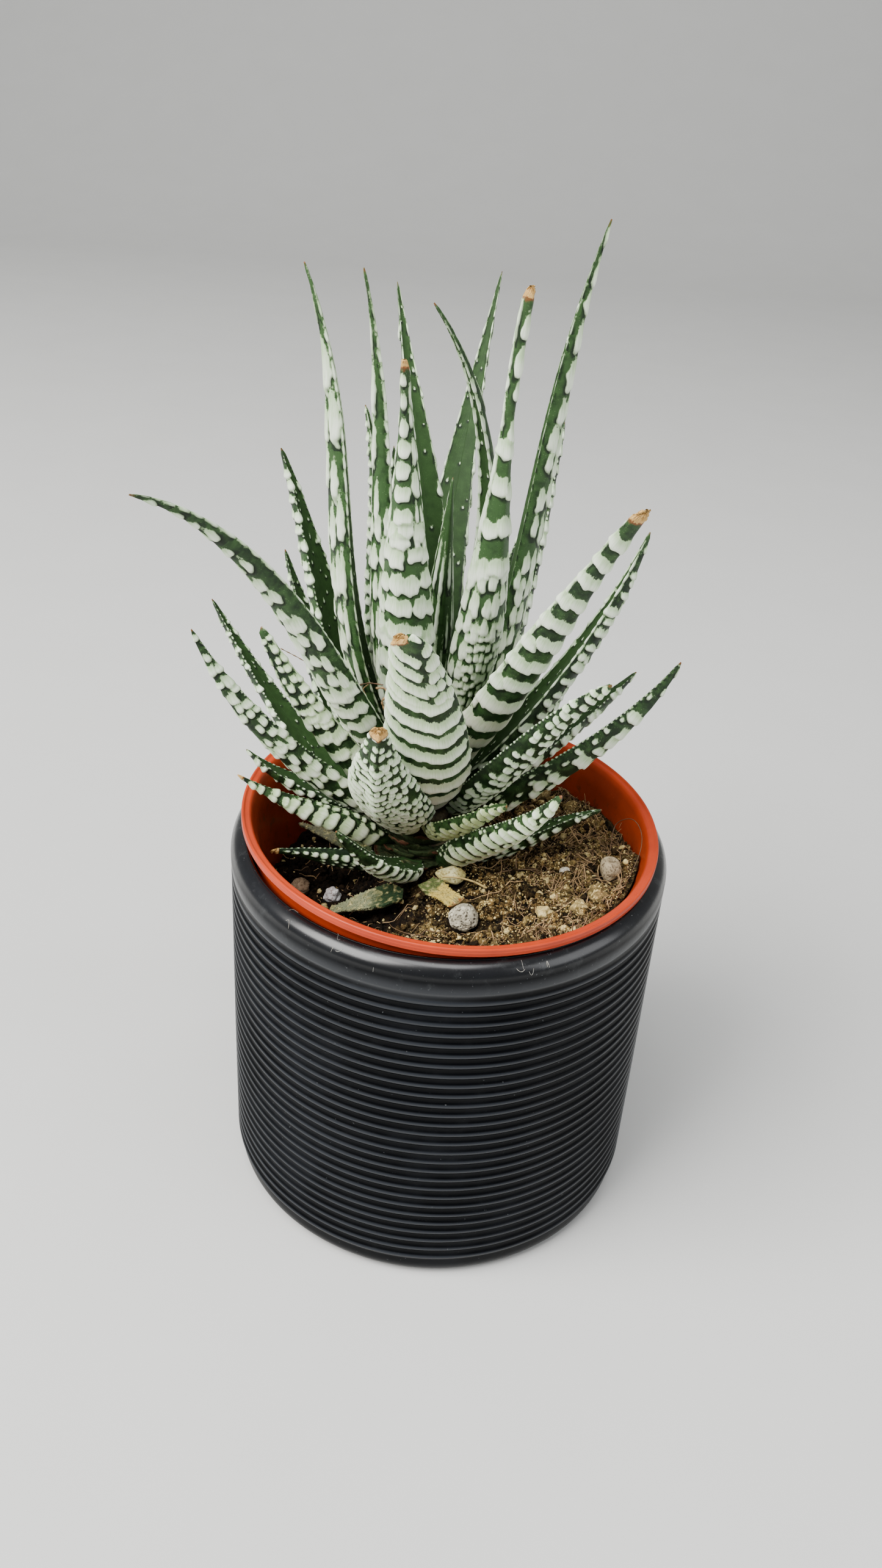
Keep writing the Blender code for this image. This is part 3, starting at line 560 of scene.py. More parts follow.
# %% Coats
COATS = {
    "leaf_tall_right": dict(tone=0.16, seam=0.1, patches=[
        drops(0.03, 0.34, 4.8, 1.6, fill=0.8, fuse=0.9, left=-0.8, right=0.84, uneven=0.16),
        drops(0.32, 0.62, 5, 1.5, fill=0.9, fuse=0.96, left=-0.84, right=0.76, stagger=0, uneven=0.14),
        drops(0.6, 0.96, 5.4, 1.2, fill=0.98, fuse=1.02, left=-0.8, right=0.66, stagger=0, uneven=0.14)]),
    "leaf_tall_left": dict(tone=0.2, seam=0.3, patches=[
        drops(0.03, 0.4, 4.8, 1.7, fill=0.84, fuse=0.92, left=-0.6, right=0.6, stagger=0),
        drops(0.03, 0.5, 8, 0.8, fill=1.16, fuse=1, left=-0.8, right=-0.62, stagger=0),
        drops(0.03, 0.5, 8, 0.8, fill=1.16, fuse=1, left=0.62, right=0.8, stagger=0),
        drops(0.36, 0.8, 8, 1.5, fill=1.06, fuse=0.96, left=-0.76, right=0.76),
        drops(0.78, 0.92, 8, 0.9, fill=1, fuse=0.8, left=-0.3, right=0.3)]),
    "leaf_left_slim": dict(tone=0.2, seam=0.4, patches=[
        drops(0.03, 0.5, 5.6, 1.5, fill=0.92, fuse=0.9, left=-0.86, right=0.86, uneven=0.18),
        drops(0.48, 0.95, 9, 1.2, fill=1.24, fuse=0.8, left=-0.46, right=0.46)]),
    "leaf_curved": dict(tone=0.1, seam=0.45, patches=[
        drops(0.03, 0.5, 6, 1.3, fill=0.9, fuse=0.9, left=-0.8, right=0.8),
        drops(0.48, 0.95, 8.5, 0.9, fill=1.15, fuse=1, left=-0.25, right=0.25)]),
    "leaf_centre": dict(tone=0.26, seam=0.36, patches=[
        drops(0.03, 0.72, 9, 1.1, fill=1.1, fuse=0.62, uneven=0.22, skip=0.1, left=-0.8,
              right=0.8, height=0.2)]),
    "leaf_back_wide": dict(tone=-0.02, seam=0.17, inner=0.03, patches=[
        plates(0.03, 0.6, 5.4, 2.2, uneven=0.2, left=-0.88, right=0.88),
        plates(0.6, 0.9, 5.4, 2, uneven=0.2, left=-0.58, right=0.58)]),
    "leaf_back_left": dict(tone=0.12, seam=0.19, inner=0.04, patches=[
        plates(0.03, 0.66, 5, 2.2, uneven=0.2),
        plates(0.66, 0.9, 5, 2, uneven=0.2, left=-0.58, right=0.58)]),
    "leaf_back_small": dict(tone=0.2, seam=0.4, inner=0.05, patches=[beads()]),
    "leaf_right_upright": dict(tone=0.2, seam=0.45, patches=[
        cells(0.03, 0.31, 1.7, 1, fill=0.96, fuse=0.98, left=-0.66, right=0.66, uneven=0.22, height=0.22),
        drops(0.05, 0.42, 4.6, 1.6, fill=0.95, fuse=0.98, left=-1, right=-0.55, stagger=0),
        drops(0.05, 0.42, 4.2, 1.6, fill=0.95, fuse=0.98, left=0.55, right=1, stagger=0),
        drops(0.28, 0.42, 4.6, 1.5, fill=0.92, fuse=0.95, left=-0.6, right=0.6, uneven=0.22),
        plates(0.41, 0.7, 6.2, 1.9, fill=0.54, left=-0.72, right=0.72, bow=0.6),
        drops(0.7, 0.95, 5.6, 1.3, fill=0.84, fuse=1.05, left=-0.76, right=0.3, stagger=0),
        drops(0.41, 0.97, 6, 1, fill=1, fuse=1, left=-1, right=-0.7, stagger=0),
        drops(0.41, 0.97, 8, 0.9, fill=1.15, fuse=1, left=0.72, right=1, stagger=0)]),
    "leaf_front_upright": dict(tone=0.16, seam=0.4, patches=[
        plates(0.03, 0.36, 4.6, 3, fill=0.66, fuse=1.26, uneven=0.12, stagger=0.25, bow=0.5),
        plates(0.34, 0.6, 4.3, 2.3, fill=0.74, fuse=1.08, uneven=0.16, stagger=0.5, bow=0.3),
        drops(0.05, 0.62, 5.2, 1.7, fill=0.95, fuse=1, left=0.62, right=1, stagger=0),
        plates(0.58, 0.95, 3.7, 3.2, fill=0.8, fuse=1, left=-0.42, right=0.42, uneven=0.1),
        drops(0.56, 0.93, 5, 1, fill=0.9, fuse=0.84, left=-0.95, right=-0.5, stagger=0),
        drops(0.56, 0.93, 5, 1, fill=0.9, fuse=0.84, left=0.5, right=0.95, stagger=0)]),
    "leaf_left_arched": dict(tone=0.06, seam=0.3, patches=[
        cells(0.02, 0.16, 1.8, 1.5, uneven=0.16),
        plates(0.14, 0.3, 3.6, 1.9, fill=0.66, fuse=1.1, left=-0.9, right=0.98, uneven=0.2, bow=0.5),
        drops(0.28, 0.56, 4.4, 1.7, fill=0.92, fuse=1.04, left=-0.76, right=0.98, uneven=0.22),
        drops(0.54, 0.95, 4, 1.4, fill=0.86, fuse=1, left=-0.46, right=0.92, uneven=0.22)]),
    "leaf_left_green": dict(tone=0.06, seam=0.26, dots=True, inner=0.12, patches=[
        beads(0.03, 0.95, 2.8, 1.6)]),
    "leaf_left_small": dict(tone=0.06, seam=0.24, dots=True, inner=0.1, patches=[
        beads(0.03, 0.95, 2.6, 1.5)]),
    "leaf_right_broad": dict(tone=0, seam=0.4, warm=0.8, keel=0.12, patches=[
        plates(0.03, 0.92, 4.9, 2, fill=0.57, fuse=1.5, uneven=0.08, bow=1),
        drops(0.03, 0.95, 5, 0.8, fill=1.15, fuse=1.1, left=-1, right=-0.86, stagger=0),
        drops(0.03, 0.95, 5, 0.8, fill=1.15, fuse=1.1, left=0.86, right=1, stagger=0)]),
    "leaf_right_under": dict(tone=-0.04, seam=0.36, patches=[
        beads(0.03, 0.95, 2.5, 1.7, fill=0.74, fuse=1, left=-0.9, right=0.75, uneven=0.24)]),
    "leaf_front_broad": dict(tone=0, seam=0.34, warm=0.8, pale=0.15, keel=0.16, keel_at=-0.42, patches=[
        rolls(0.02, 0.72, 4.4, fill=0.57, bow=1.3),
        rolls(0.7, 0.9, 3.6, fill=0.74, bow=2.2, left=-0.42, right=1),
        beads(0.7, 0.97, 3, 1.9, fill=0.84, fuse=0.96, left=-1, right=-0.42, skip=0, bow=2.4)]),
    "leaf_front_keeled": dict(tone=-0.05, seam=0.34, dots=True, keel=0.32, warm=0.4, patches=[
        cells(0.02, 0.36, 1.8, 1.6, fill=0.88, fuse=0.9, left=-0.55, right=1, uneven=0.14),
        Patch(0.34, 0.78, 1.75, 2.6, 0.84, 1, left=0, right=1, uneven=0.1, bow=0.8, height=0.3),
        beads(0.1, 0.8, 2.2, 1.25, fill=0.74, fuse=0.95, left=-1, right=-0.3, skip=0.02, bow=0.8),
        cells(0.34, 0.78, 1.7, 1.1, fill=0.84, left=-0.36, right=0.04),
        beads(0.78, 0.96, 2.1, 1.3, fill=0.66, fuse=0.74, skip=0)]),
    "leaf_left_1": dict(tone=-0.02, seam=0.34, keel=0.14, pale=0.25, patches=[
        cells(0.02, 0.24, 1.8, 1.5, uneven=0.16),
        plates(0.2, 0.52, 3.9, 2.3, fill=0.62, fuse=1.4, uneven=0.14, bow=1.1),
        plates(0.5, 0.7, 2.6, 1.4, fill=0.7, fuse=1, uneven=0.2, bow=0.4),
        beads(0.68, 0.96, 2.2, 1.1, fill=0.76, fuse=0.86, uneven=0.22)]),
    "leaf_left_2": dict(tone=-0.03, seam=0.32, dots=True, patches=[
        beads(0.03, 0.96, 2, 1.15, fill=0.78, fuse=1, left=-0.95, right=0.95, uneven=0.26)]),
    "leaf_left_3": dict(tone=0, seam=0.32, dots=True, patches=[
        plates(0.03, 0.5, 3, 1.5, fill=0.76, fuse=1.06, left=-0.95, right=0.95, uneven=0.26, skip=0.04),
        beads(0.48, 0.96, 2.7, 1.2, fill=0.84, fuse=1, left=-0.95, right=0.95, uneven=0.26)]),
    "leaf_left_4": dict(tone=-0.05, seam=0.32, dots=True, patches=[
        beads(0.03, 0.96, 2.4, 1.5, fill=0.74, fuse=1.02, left=-0.95, right=0.55, uneven=0.24)]),
    "leaf_left_5": dict(tone=0, seam=0.26, dots=True, pale=0.4, patches=[
        plates(0.12, 0.7, 2.7, 3.4, fill=0.84, fuse=1.16, left=-0.66, right=0.66, uneven=0.08, bow=-1),
        beads(0.1, 0.66, 1.8, 1.1, fill=0.74, fuse=0.84, left=-0.98, right=-0.74, skip=0),
        beads(0.68, 0.95, 2.4, 1.6, fill=0.76, fuse=0.9, left=-0.8, right=0.8, skip=0)]),
    "leaf_left_6": dict(tone=-0.08, seam=0.28, dots=True, patches=[
        beads(0.3, 0.9, 1.75, 1.25, fill=0.78, fuse=0.86, left=-0.74, right=-0.36, skip=0, height=0.3),
        beads(0.05, 0.6, 1.7, 0.8, fill=0.5, fuse=0.6, left=-0.36, right=0.6, skip=0.4, height=0.2)]),
    "leaf_right_1": dict(tone=-0.03, seam=0.34, dots=True, patches=[
        cells(0.02, 0.28, 1.7, 1.3, fill=0.9, fuse=0.96, left=-0.95, right=0.75, uneven=0.24),
        plates(0.26, 0.8, 2.2, 1.35, fill=0.74, fuse=1.02, left=-0.95, right=0.78, uneven=0.24,
               bow=0.6, skip=0.05),
        beads(0.78, 0.97, 2.4, 1.4, fill=0.74, fuse=0.96, skip=0)]),
    "leaf_right_2": dict(tone=-0.03, seam=0.32, dots=True, patches=[
        plates(0.03, 0.97, 3, 1.6, fill=0.74, fuse=1.04, left=-0.8, right=0.96, uneven=0.28, skip=0.08)]),
    "leaf_right_3": dict(tone=-0.03, seam=0.32, dots=True, patches=[
        plates(0.03, 0.97, 3.5, 1.9, fill=0.74, fuse=1.12, left=-0.8, right=0.55, uneven=0.3, skip=0.05),
        beads(0.05, 0.9, 3.2, 1.2, fill=0.4, fuse=0.6, left=0.55, right=0.95, skip=0.4, height=0.25)]),
    "leaf_right_4": dict(tone=0, seam=0.3, dots=True, pale=0.3, patches=[
        plates(0.14, 0.78, 2.5, 2.9, fill=0.84, fuse=1.1, left=-0.5, right=0.74, uneven=0.12, bow=-0.9),
        beads(0.1, 0.85, 1.7, 0.8, fill=0.5, fuse=0.6, left=0.74, right=0.98, skip=0.5, height=0.2),
        beads(0.76, 0.97, 2.5, 1.5, fill=0.84, fuse=0.9, left=-0.6, right=0.72, skip=0)]),
    "leaf_right_5": dict(tone=-0.06, seam=0.26, dots=True, patches=[
        beads(0.08, 0.92, 2.3, 1.1, fill=0.7, fuse=0.85, left=0.36, right=0.9, skip=0.08, uneven=0.26),
        beads(0.08, 0.92, 2.3, 1.1, fill=0.7, fuse=0.85, left=-0.9, right=-0.36, skip=0.08,
              uneven=0.26)]),
    "leaf_front_low_left": dict(tone=-0.02, seam=0.34, dots=True, keel=0.14, patches=[
        Patch(0.06, 0.62, 1.85, 2.6, 0.6, 1.06, left=-0.95, right=0.42, uneven=0.08,
              height=0.34, bow=0.5),
        beads(0.55, 0.94, 1.9, 1.1, fill=0.6, fuse=0.8, left=-0.5, right=0.2, skip=0.25, height=0.28),
        beads(0.06, 0.94, 1.5, 0.9, fill=0.72, fuse=0.95, left=0.52, right=0.74, skip=0.1, height=0.28)]),
    "leaf_front_low_right": dict(tone=0.16, seam=0.36, dots=True, keel=0.16, pale=1, patches=[
        cells(0.02, 0.34, 1.35, 1.25, fill=0.92, fuse=1, uneven=0.16),
        Patch(0.32, 0.82, 1.6, 2, 0.88, 1.12, left=-0.9, right=0.6, uneven=0.1, bow=0.6, height=0.36),
        plates(0.8, 0.97, 1.9, 1.3, fill=0.8, fuse=1.1)]),
}
REAR_COAT = dict(tone=-0.02, seam=0.34, dots=True, patches=[
        plates(0.03, 0.96, 3.4, 1.9, fill=0.7, uneven=0.2)])
print("coats:", len(COATS), "patches:", sum(len(coat["patches"]) for coat in COATS.values()))

# %% [markdown]
# Now the rule itself. Rows get a little closer towards the tip. A row may dip at the keel, as
# the rolls of the broad front leaf do, and a wart may narrow towards its upper end.

# %% Lay out the warts
def patch_warts(patch, length, half_arc_at, rng):
    """Each wart: place along, place across, half width, half length, height, dip, narrowing."""
    warts, low, number = [], patch.low * length, 0
    while low < patch.high * length:
        share = low / length
        pitch = patch.pitch * (1.12 - 0.30 * share)
        arc = half_arc_at(low + pitch / 2)
        count = max(1, round((patch.right - patch.left) * arc / patch.wide)) if patch.wide else 1
        cell = (patch.right - patch.left) / count
        shift = patch.stagger * (number % 2) if count > 1 else 0
        for k in range(count + (1 if shift else 0)):
            draw = rng.uniform(-1, 1, 6)
            if rng.random() < patch.skip * (0.5 + share):
                continue
            across = patch.left + cell * (k + 0.5 - shift) + patch.uneven * cell * draw[0]
            across = min(max(across, patch.left + 0.1 * cell), patch.right - 0.1 * cell)
            half_long = 0.5 * pitch * patch.fill * (1 + 1.3 * patch.uneven * draw[1])
            half_wide = 0.5 * cell * arc * patch.fuse * (1 + patch.uneven * draw[2])
            middle = low + pitch * (0.5 + 1.1 * patch.uneven * draw[3])
            height = patch.height * (1 + 0.2 * draw[4])
            warts.append((middle, across, half_wide, half_long, height, patch.bow, patch.point))
        low += pitch
        number += 1
    return warts


def edge_warts(length, half_arc_at, seam, dots, rng):
    """The white edging of both margins: long low warts end to end, or separate dots."""
    sizes, wide_share, outward, long_share, height, gap = (
        ((0.6, 1.1), 0.72, 0.05, 0.36, 0.16, 1.1) if dots else ((1.6, 3.8), 1.0, 0.25, 0.6, 0.14, 0.92))
    warts = []
    for edge in (-1, 1):
        low = 1.0
        while low < 0.985 * length:
            size = rng.uniform(*sizes)
            arc = half_arc_at(low)
            wide = min(seam * wide_share, 0.34 * arc) * rng.uniform(0.7, 1.2)
            wide *= min(1.0, 0.25 + (length - low) / 18)
            across = edge * (1 + outward * wide / max(arc, 0.3))
            warts.append((low + size / 2, across, wide, long_share * size, height, 0, 0))
            low += size * gap
    return warts


def inner_dots(length, width, density, rng):
    """Small pale dots on the inner face, thicker near the base."""
    warts = []
    for _ in range(int(density * length * width)):
        low = length * (0.05 + 0.9 * rng.random() ** 1.6)
        size = rng.uniform(0.12, 0.26)
        across = rng.choice((-1, 1)) * (1 + rng.uniform(0.12, 0.7))
        warts.append((low, across, size, size * 1.5, 0.05, 0, 0))
    return warts


def raise_warts(warts, along, across, half_arc, keel_at, phase):
    """Signed depth inside a wart in millimetres, nearness to its upper edge, and height."""
    depth = np.full((len(along), len(across)), -1.0)
    upper, high = np.zeros_like(depth), np.zeros_like(depth)
    for middle, place, half_wide, half_long, height, bow, point in warts:
        spare = half_long + abs(bow) + 0.8
        arc = float(np.interp(middle, along, half_arc))
        beside = (half_wide + 0.8) / arc
        rows = slice(*np.searchsorted(along, (middle - spare, middle + spare)))
        columns = slice(*np.searchsorted(across, (place - beside, place + beside)))
        if rows.stop <= rows.start or columns.stop <= columns.start:
            continue
        at, up = across[columns], along[rows, None]
        broad = half_wide > 2.2
        dip = bow * (np.minimum(np.abs(at - keel_at), 1.4) ** 1.4 - abs(place - keel_at) ** 1.4)
        ripple = 0.10 * np.sin(at * arc * 2.4 + phase + middle) * broad
        dt = (up - middle - dip[None]) / (half_long * (1 + ripple))[None]
        narrowed = 1 - point * np.clip(dt, 0, 1)
        dc = (at - place)[None] * half_arc[rows, None] / (half_wide * narrowed)
        reach = (np.abs(dt) ** 3.0 + np.abs(dc) ** (6.0 if broad else 3.2)) ** (1 / 3.0)
        x = (at * arc)[None]
        reach = reach * (1 + 0.09 * np.sin(2.9 * x + 2.1 * up + phase)
                         + 0.07 * np.sin(4.1 * x - 3.3 * up + middle))
        inside = (1 - reach) * min(half_wide, half_long)
        rise = np.clip(inside / 0.32, 0, 1)
        profile = np.sqrt(rise * (2 - rise)) * (1 - 0.80 * step_up(dt, -0.7, 0.9)) * height
        here = rows, columns
        upper[here] = np.where(inside > depth[here], np.clip((dt + 1) / 2, 0, 1), upper[here])
        depth[here] = np.maximum(depth[here], inside)
        high[here] = np.maximum(high[here], profile)
    return depth, upper, high


# %% [markdown]
# ## Dressing every leaf
# The warts push the skin out along its own normal. The same numbers are then written on the
# vertices, so that the colour follows the relief exactly. An end that has dried off shrinks
# and crumples; a whole end fades to a thin brownish point.

# %% Fine leaves
DRIED = {  # where the dried end starts, and the side that it keeps to (0 is the whole width)
    "leaf_right_upright": (0.976, 0), "leaf_front_upright": (0.982, 0), "leaf_right_broad": (0.965, 0),
    "leaf_front_broad": (0.93, 0.9), "leaf_front_keeled": (0.95, 0), "leaf_left_5": (0.965, 0),
    "leaf_left_6": (0.94, 0),
}


def outward_of(skin):
    """Unit normals of a grid whose columns close into a ring."""
    round_columns = np.roll(skin, -1, axis=1) - np.roll(skin, 1, axis=1)
    normal = np.cross(round_columns, np.gradient(skin, axis=0))
    normal /= np.maximum(np.linalg.norm(normal, axis=2), 1e-9)[..., None]
    outside = skin - skin.mean(axis=1, keepdims=True)
    return normal if (normal * outside).sum() > 0 else -normal


def dryness_of(name, share, across):
    """0 on living skin, 1 on the dried end. The tip of a whole leaf only browns a little."""
    start, side = DRIED.get(name, (None, 0))
    off = np.abs(across[None] - side)
    if start is None:
        return 0.42 * step_up(share, 0.965, 1.0)[:, None] + 0 * off
    start = start + 0.055 * off * (side != 0)
    return np.clip((share[:, None] - start) / 0.03 * 0.5 + 0.40, 0, 1)


def fine_leaf(name, leaf, start, fine, coat, seed):
    rng = np.random.default_rng(seed)
    keel_at = coat.get("keel_at", 0)
    skin, along, across, half_arc = leaf_skin(leaf, start, fine, coat.get("keel", 0.10), keel_at)
    length, width, tip = leaf[6], leaf[7], leaf[9]

    def half_arc_at(place):
        return float(np.interp(place, along, half_arc))

    warts = [wart for patch in coat["patches"] for wart in patch_warts(patch, length, half_arc_at, rng)]
    warts += edge_warts(length, half_arc_at, coat["seam"], coat.get("dots", False), rng)
    warts += inner_dots(length, width, coat.get("inner", 0.10), rng)
    depth, upper, high = raise_warts(warts, along, across, half_arc, keel_at, seed)
    share = along / length
    dry = dryness_of(name, share, across)
    high = high * np.clip((length - along) / 3.0, 0.15, 1)[:, None] * np.clip(along / 1.5, 0, 1)[:, None]
    if tip > 1:
        crumple = rng.normal(0, 0.10, skin.shape[:2])
        crumple = (crumple + np.roll(crumple, 1, 0) + np.roll(crumple, 1, 1)) * step_up(dry, 0.5, 0.8)
        high = high * (1 - step_up(dry, 0.45, 0.7)) + crumple * 0.7 - 0.40 * step_up(dry, 0.6, 1.0)
    rows, count = skin.shape[:2]
    warm = coat.get("warm", 0.25) * (1 - step_up(share, 0.10, 0.45))
    ring_piece(name + "_fine", skin + outward_of(skin) * high[..., None], banded_skin, "banded_leaf", (name,),
               skin=skin_places(along, across, half_arc, seed * 3.7), wart=depth, upper=upper, dry=dry,
               tone=coat["tone"], warm=np.repeat(warm, count), pale=coat.get("pale", 0),
               inner=np.tile(step_up(np.abs(across), 1.02, 1.12), rows))


for seed, (name, leaf) in enumerate(LEAVES.items()):
    start = CENTRE_LEAF_START if name == "leaf_centre" else LEAF_START
    fine = 0.23 if name in COATS else 0.34
    fine_leaf(name, leaf, start, fine, COATS.get(name, REAR_COAT), seed + 1)
print("leaves:", len(LEAVES), "vertices:", sum(len(o.data.vertices) for o in fine_pieces.values()))

# %% [markdown]
# ## The cover pot
# A turned piece is one profile spun round an axis. The solid part has sixteen-sided ribs with
# sharp grooves; the glazed pot has soft ones, because glaze runs off a crest and pools in a
# groove. So the profile here is a smooth wave of the same pitch and depth, with a rounded
# shoulder above it and a smooth foot below. The spin is done by hand in 256 steps.

# %% Cover pot form
COVER_RADIUS, COVER_HEIGHT, COVER_WALL, COVER_FLOOR = 37.5, 69.6, 3.0, 5.0
RIM_ROUNDING, FOOT_ROUNDING = 2.8, 3.0
RIB_COUNT, RIB_DEPTH, RIBS_FROM, RIBS_TO = 28, 0.45, 4.0, 63.8


def arc(radius_at, height_at, size, start, end, steps):
    turns = np.radians(np.linspace(start, end, steps + 1))
    return [(radius_at + size * math.cos(a), height_at + size * math.sin(a)) for a in turns]


def spin(profile, steps, bend):
    """Turns a profile that starts and ends on the axis; the ends become one point each."""
    radii, heights = np.array(profile[1:-1]).T
    turns = full_turn(steps)
    ring = bend(np.stack([circle(radius, turns, height) for radius, height in zip(radii, heights)]), turns)
    points = np.vstack([ring.reshape(-1, 3), (0, 0, profile[0][1]), (0, 0, profile[-1][1])])
    top, end = len(points) - 2, len(points) - 2 - steps
    faces = [(i, i + steps, j + steps, j) for row in range(0, end, steps)
             for i, j in zip(range(row, row + steps), [*range(row + 1, row + steps), row])]
    for i in range(steps):
        j = (i + 1) % steps
        faces += [(top, i, j), (top + 1, end + j, end + i)]
    return points, faces


def cover_profile():
    inner = COVER_RADIUS - COVER_WALL
    profile = [(0, COVER_FLOOR), (inner - 6, COVER_FLOOR), *arc(inner - 3, COVER_FLOOR + 3, 3, -90, 0, 8)]
    profile += [(inner, 20), (inner, 45), (inner, COVER_HEIGHT - 1.4)]
    profile += arc(inner + 0.8, COVER_HEIGHT - 0.8, 0.8, 170, 95, 6)
    profile += arc(COVER_RADIUS - RIM_ROUNDING, COVER_HEIGHT - RIM_ROUNDING, RIM_ROUNDING, 88, 0, 16)
    pitch = (RIBS_TO - RIBS_FROM) / RIB_COUNT
    height = RIBS_TO + 0.5 * pitch
    while height > RIBS_FROM - 0.01:
        wave = 0.5 + 0.5 * math.cos((RIBS_TO + 0.5 * pitch - height) / pitch * math.tau)
        depth = RIB_DEPTH * min(1, 0.5 + (RIBS_TO - height) / 5)
        profile.append((COVER_RADIUS - depth * (1 - wave**2), height))
        height -= pitch / 10
    profile += arc(COVER_RADIUS - RIB_DEPTH - FOOT_ROUNDING, FOOT_ROUNDING, FOOT_ROUNDING, 0, -90, 10)
    return profile + [(COVER_RADIUS - 8, 0.0), (COVER_RADIUS - 9, 0.5), (0, 0.5)]


print("cover pot profile:", len(cover_profile()), "points")

# %% [markdown]
# ## Glaze
# The glaze is a dark blue-grey, glossy but not a mirror. Its colour is nearly black in the grooves
# and paler on the crests: painted shade in each groove, which the crest above it shades, and a
# painted highlight along each crest. The grooves hardly shine for the same reason, so the gloss is
# a coat with a weight: full on the shoulder, less on the crests and none in the grooves. Fine dust
# lies on the shoulder as pale specks and smears.

# %% Glaze finish
def glaze_finish():
    made = begin("dark glaze")
    place = object_place()
    height = add("SeparateXYZ", 2, Vector=place) * 1000.0
    crest = between(attribute("crest"), 0.45, 1.0)
    cloud = grain(place, 55, 5, 0.6)
    # painted highlight and shade: the base colour is nearly black in the grooves and paler on the crests
    body = blend(crest, (0.0012, 0.0014, 0.0020), (0.0165, 0.0190, 0.0235))
    body = blend(between(cloud, 0.45, 0.75, 0, 0.3), body, (0.016, 0.018, 0.022))
    specks = between(grain(place, 2600, 2, 0.5), 0.7, 0.78)
    smears = between(grain(place, 240, 4, 0.7), 0.52, 0.8, 0, 0.3)
    dusty = maths("MAXIMUM", specks, smears) * between(height, 62.0, 68.5, 0.1, 1.0)
    dusty = maths("MAXIMUM", dusty, between(grain(place, 1900, 1, 0.5), 0.785, 0.8, 0, 0.7))
    rough = spread(cloud, 0.27, 0.37) + dusty * 0.25
    orange_peel = grain(place, 900, 2, 0.4)
    surface(blend(dusty * 0.5, body, (0.16, 0.17, 0.175)), rough, orange_peel, 0.00006, 0.35, 0.06)
    put(shader.inputs["Coat Weight"], maths("MAXIMUM", crest * 0.45, between(height, 66.6, 68.4)))
    shader.inputs["Coat Roughness"].default_value = 0.24
    return made


# %% Cover pot
def hand_thrown(ring, turns):
    """Glazed pots are never perfectly true: the ribs wander by a few hundredths of a millimetre."""
    wander = 0.05 * np.sin(3 * turns + 0.6)[None] + 0.03 * np.sin(7 * turns + ring[:, :, 2] * 0.11)
    ring[:, :, :2] *= (1 - 0.0015 + wander / COVER_RADIUS)[..., None]
    return ring


points, faces = spin(cover_profile(), 256, hand_thrown)
on_rib = np.clip((np.hypot(points[:, 0], points[:, 1]) - 37.0) / 0.42, 0, 1)
shoulder, foot = step_up(points[:, 2], RIBS_TO + 0.5, RIBS_TO + 3), step_up(-points[:, 2], -4.3, -3.6)
smooth_part = np.maximum(shoulder, foot)
# the crest mark also sets the painted rib light; the smooth shoulder and foot take a middle share of it
piece("cover_pot_glazed", points, faces, glaze_finish(), "cover_glaze", ("cover_pot",),
      crest=on_rib * (1 - smooth_part) + 0.54 * smooth_part)
print("cover pot: faces", len(faces))

# %% [markdown]
# ## The nursery pot
# The nursery pot is thin plastic with a thick rolled lip. It stands tilted, so it is turned
# upright first and then carried into place by one matrix. Its lip has two fine raised lines on
# the outer edge and is a little wavy. The ring of drain holes in its floor can't be turned, so
# they are cut through the finished mesh with one boolean.

# %% Nursery pot form
LIP_RADIUS, LIP_CENTRE_HEIGHT = 35.6, 72.7
LIP_RISE_X, LIP_RISE_Y = -0.041, 0.0235
LIP_DEPTH = 3.2                              # from the lip's top to where the wall begins
HEIGHT, TOP_RADIUS, FOOT_RADIUS, WALL = 66.3, 33.7, 25.0, 0.9
DRAIN_HOLES, DRAIN_RADIUS, DRAIN_RING_RADIUS = 5, 3.0, 16.0
INSIDE_OF_LIP = (  # from the inner or the outer radius, from the height of the lip
    (0.06, -3.05), (0.30, -2.4), (0.75, -1.3), (1.1, -0.35), (1.35, -0.05), (1.65, 0.05))
OUTSIDE_OF_LIP = (
    (-0.75, 0.03), (-0.52, 0.16), (-0.42, 0.27), (-0.28, 0.3), (-0.08, 0.24), (0, 0.06), (-0.1, -0.12),
    (-0.02, -0.32), (0, -0.50), (-0.1, -0.68), (-0.03, -0.95), (-0.12, -1.12), (-0.35, -1.2), (-1.1, -1.2),
    (-1.3, -1.35), (-1.88, -3.2))


def nursery_matrix():
    """Turns the upright pot so that its lip lies in its sloping plane."""
    up = Vector((-LIP_RISE_X, -LIP_RISE_Y, 1)).normalized()
    foot = Vector((0, 0, LIP_CENTRE_HEIGHT)) - up * HEIGHT
    return Matrix.Translation(foot) @ Vector((0, 0, 1)).rotation_difference(up).to_matrix().to_4x4()


def carried(points):
    """Takes points of the upright pot to the tilted one."""
    matrix = nursery_matrix()
    return points @ np.array(matrix.to_3x3()).T + np.array(matrix.translation)


def nursery_profile():
    foot, top, wall_top = FOOT_RADIUS - WALL, TOP_RADIUS - WALL, HEIGHT - LIP_DEPTH
    profile = [(0, WALL), (foot - 1.5, WALL), *arc(foot - 1.0, WALL + 1.2, 1.2, -80, -5, 5)]
    profile += [(foot + (top - foot) * t, WALL + (wall_top - WALL) * t) for t in np.linspace(0.06, 0.985, 24)]
    profile += [(top + out, HEIGHT + up) for out, up in INSIDE_OF_LIP]
    profile += [(LIP_RADIUS + out, HEIGHT + up) for out, up in OUTSIDE_OF_LIP]
    profile += [(TOP_RADIUS + (FOOT_RADIUS - TOP_RADIUS) * t, wall_top * (1 - t))
                for t in np.linspace(0.03, 0.985, 20)]
    return profile + [(FOOT_RADIUS - 0.2, 0.25), (FOOT_RADIUS - 0.8, 0.0), (22.0, 0.0), (0, 0)]


print("nursery pot profile:", len(nursery_profile()), "points")
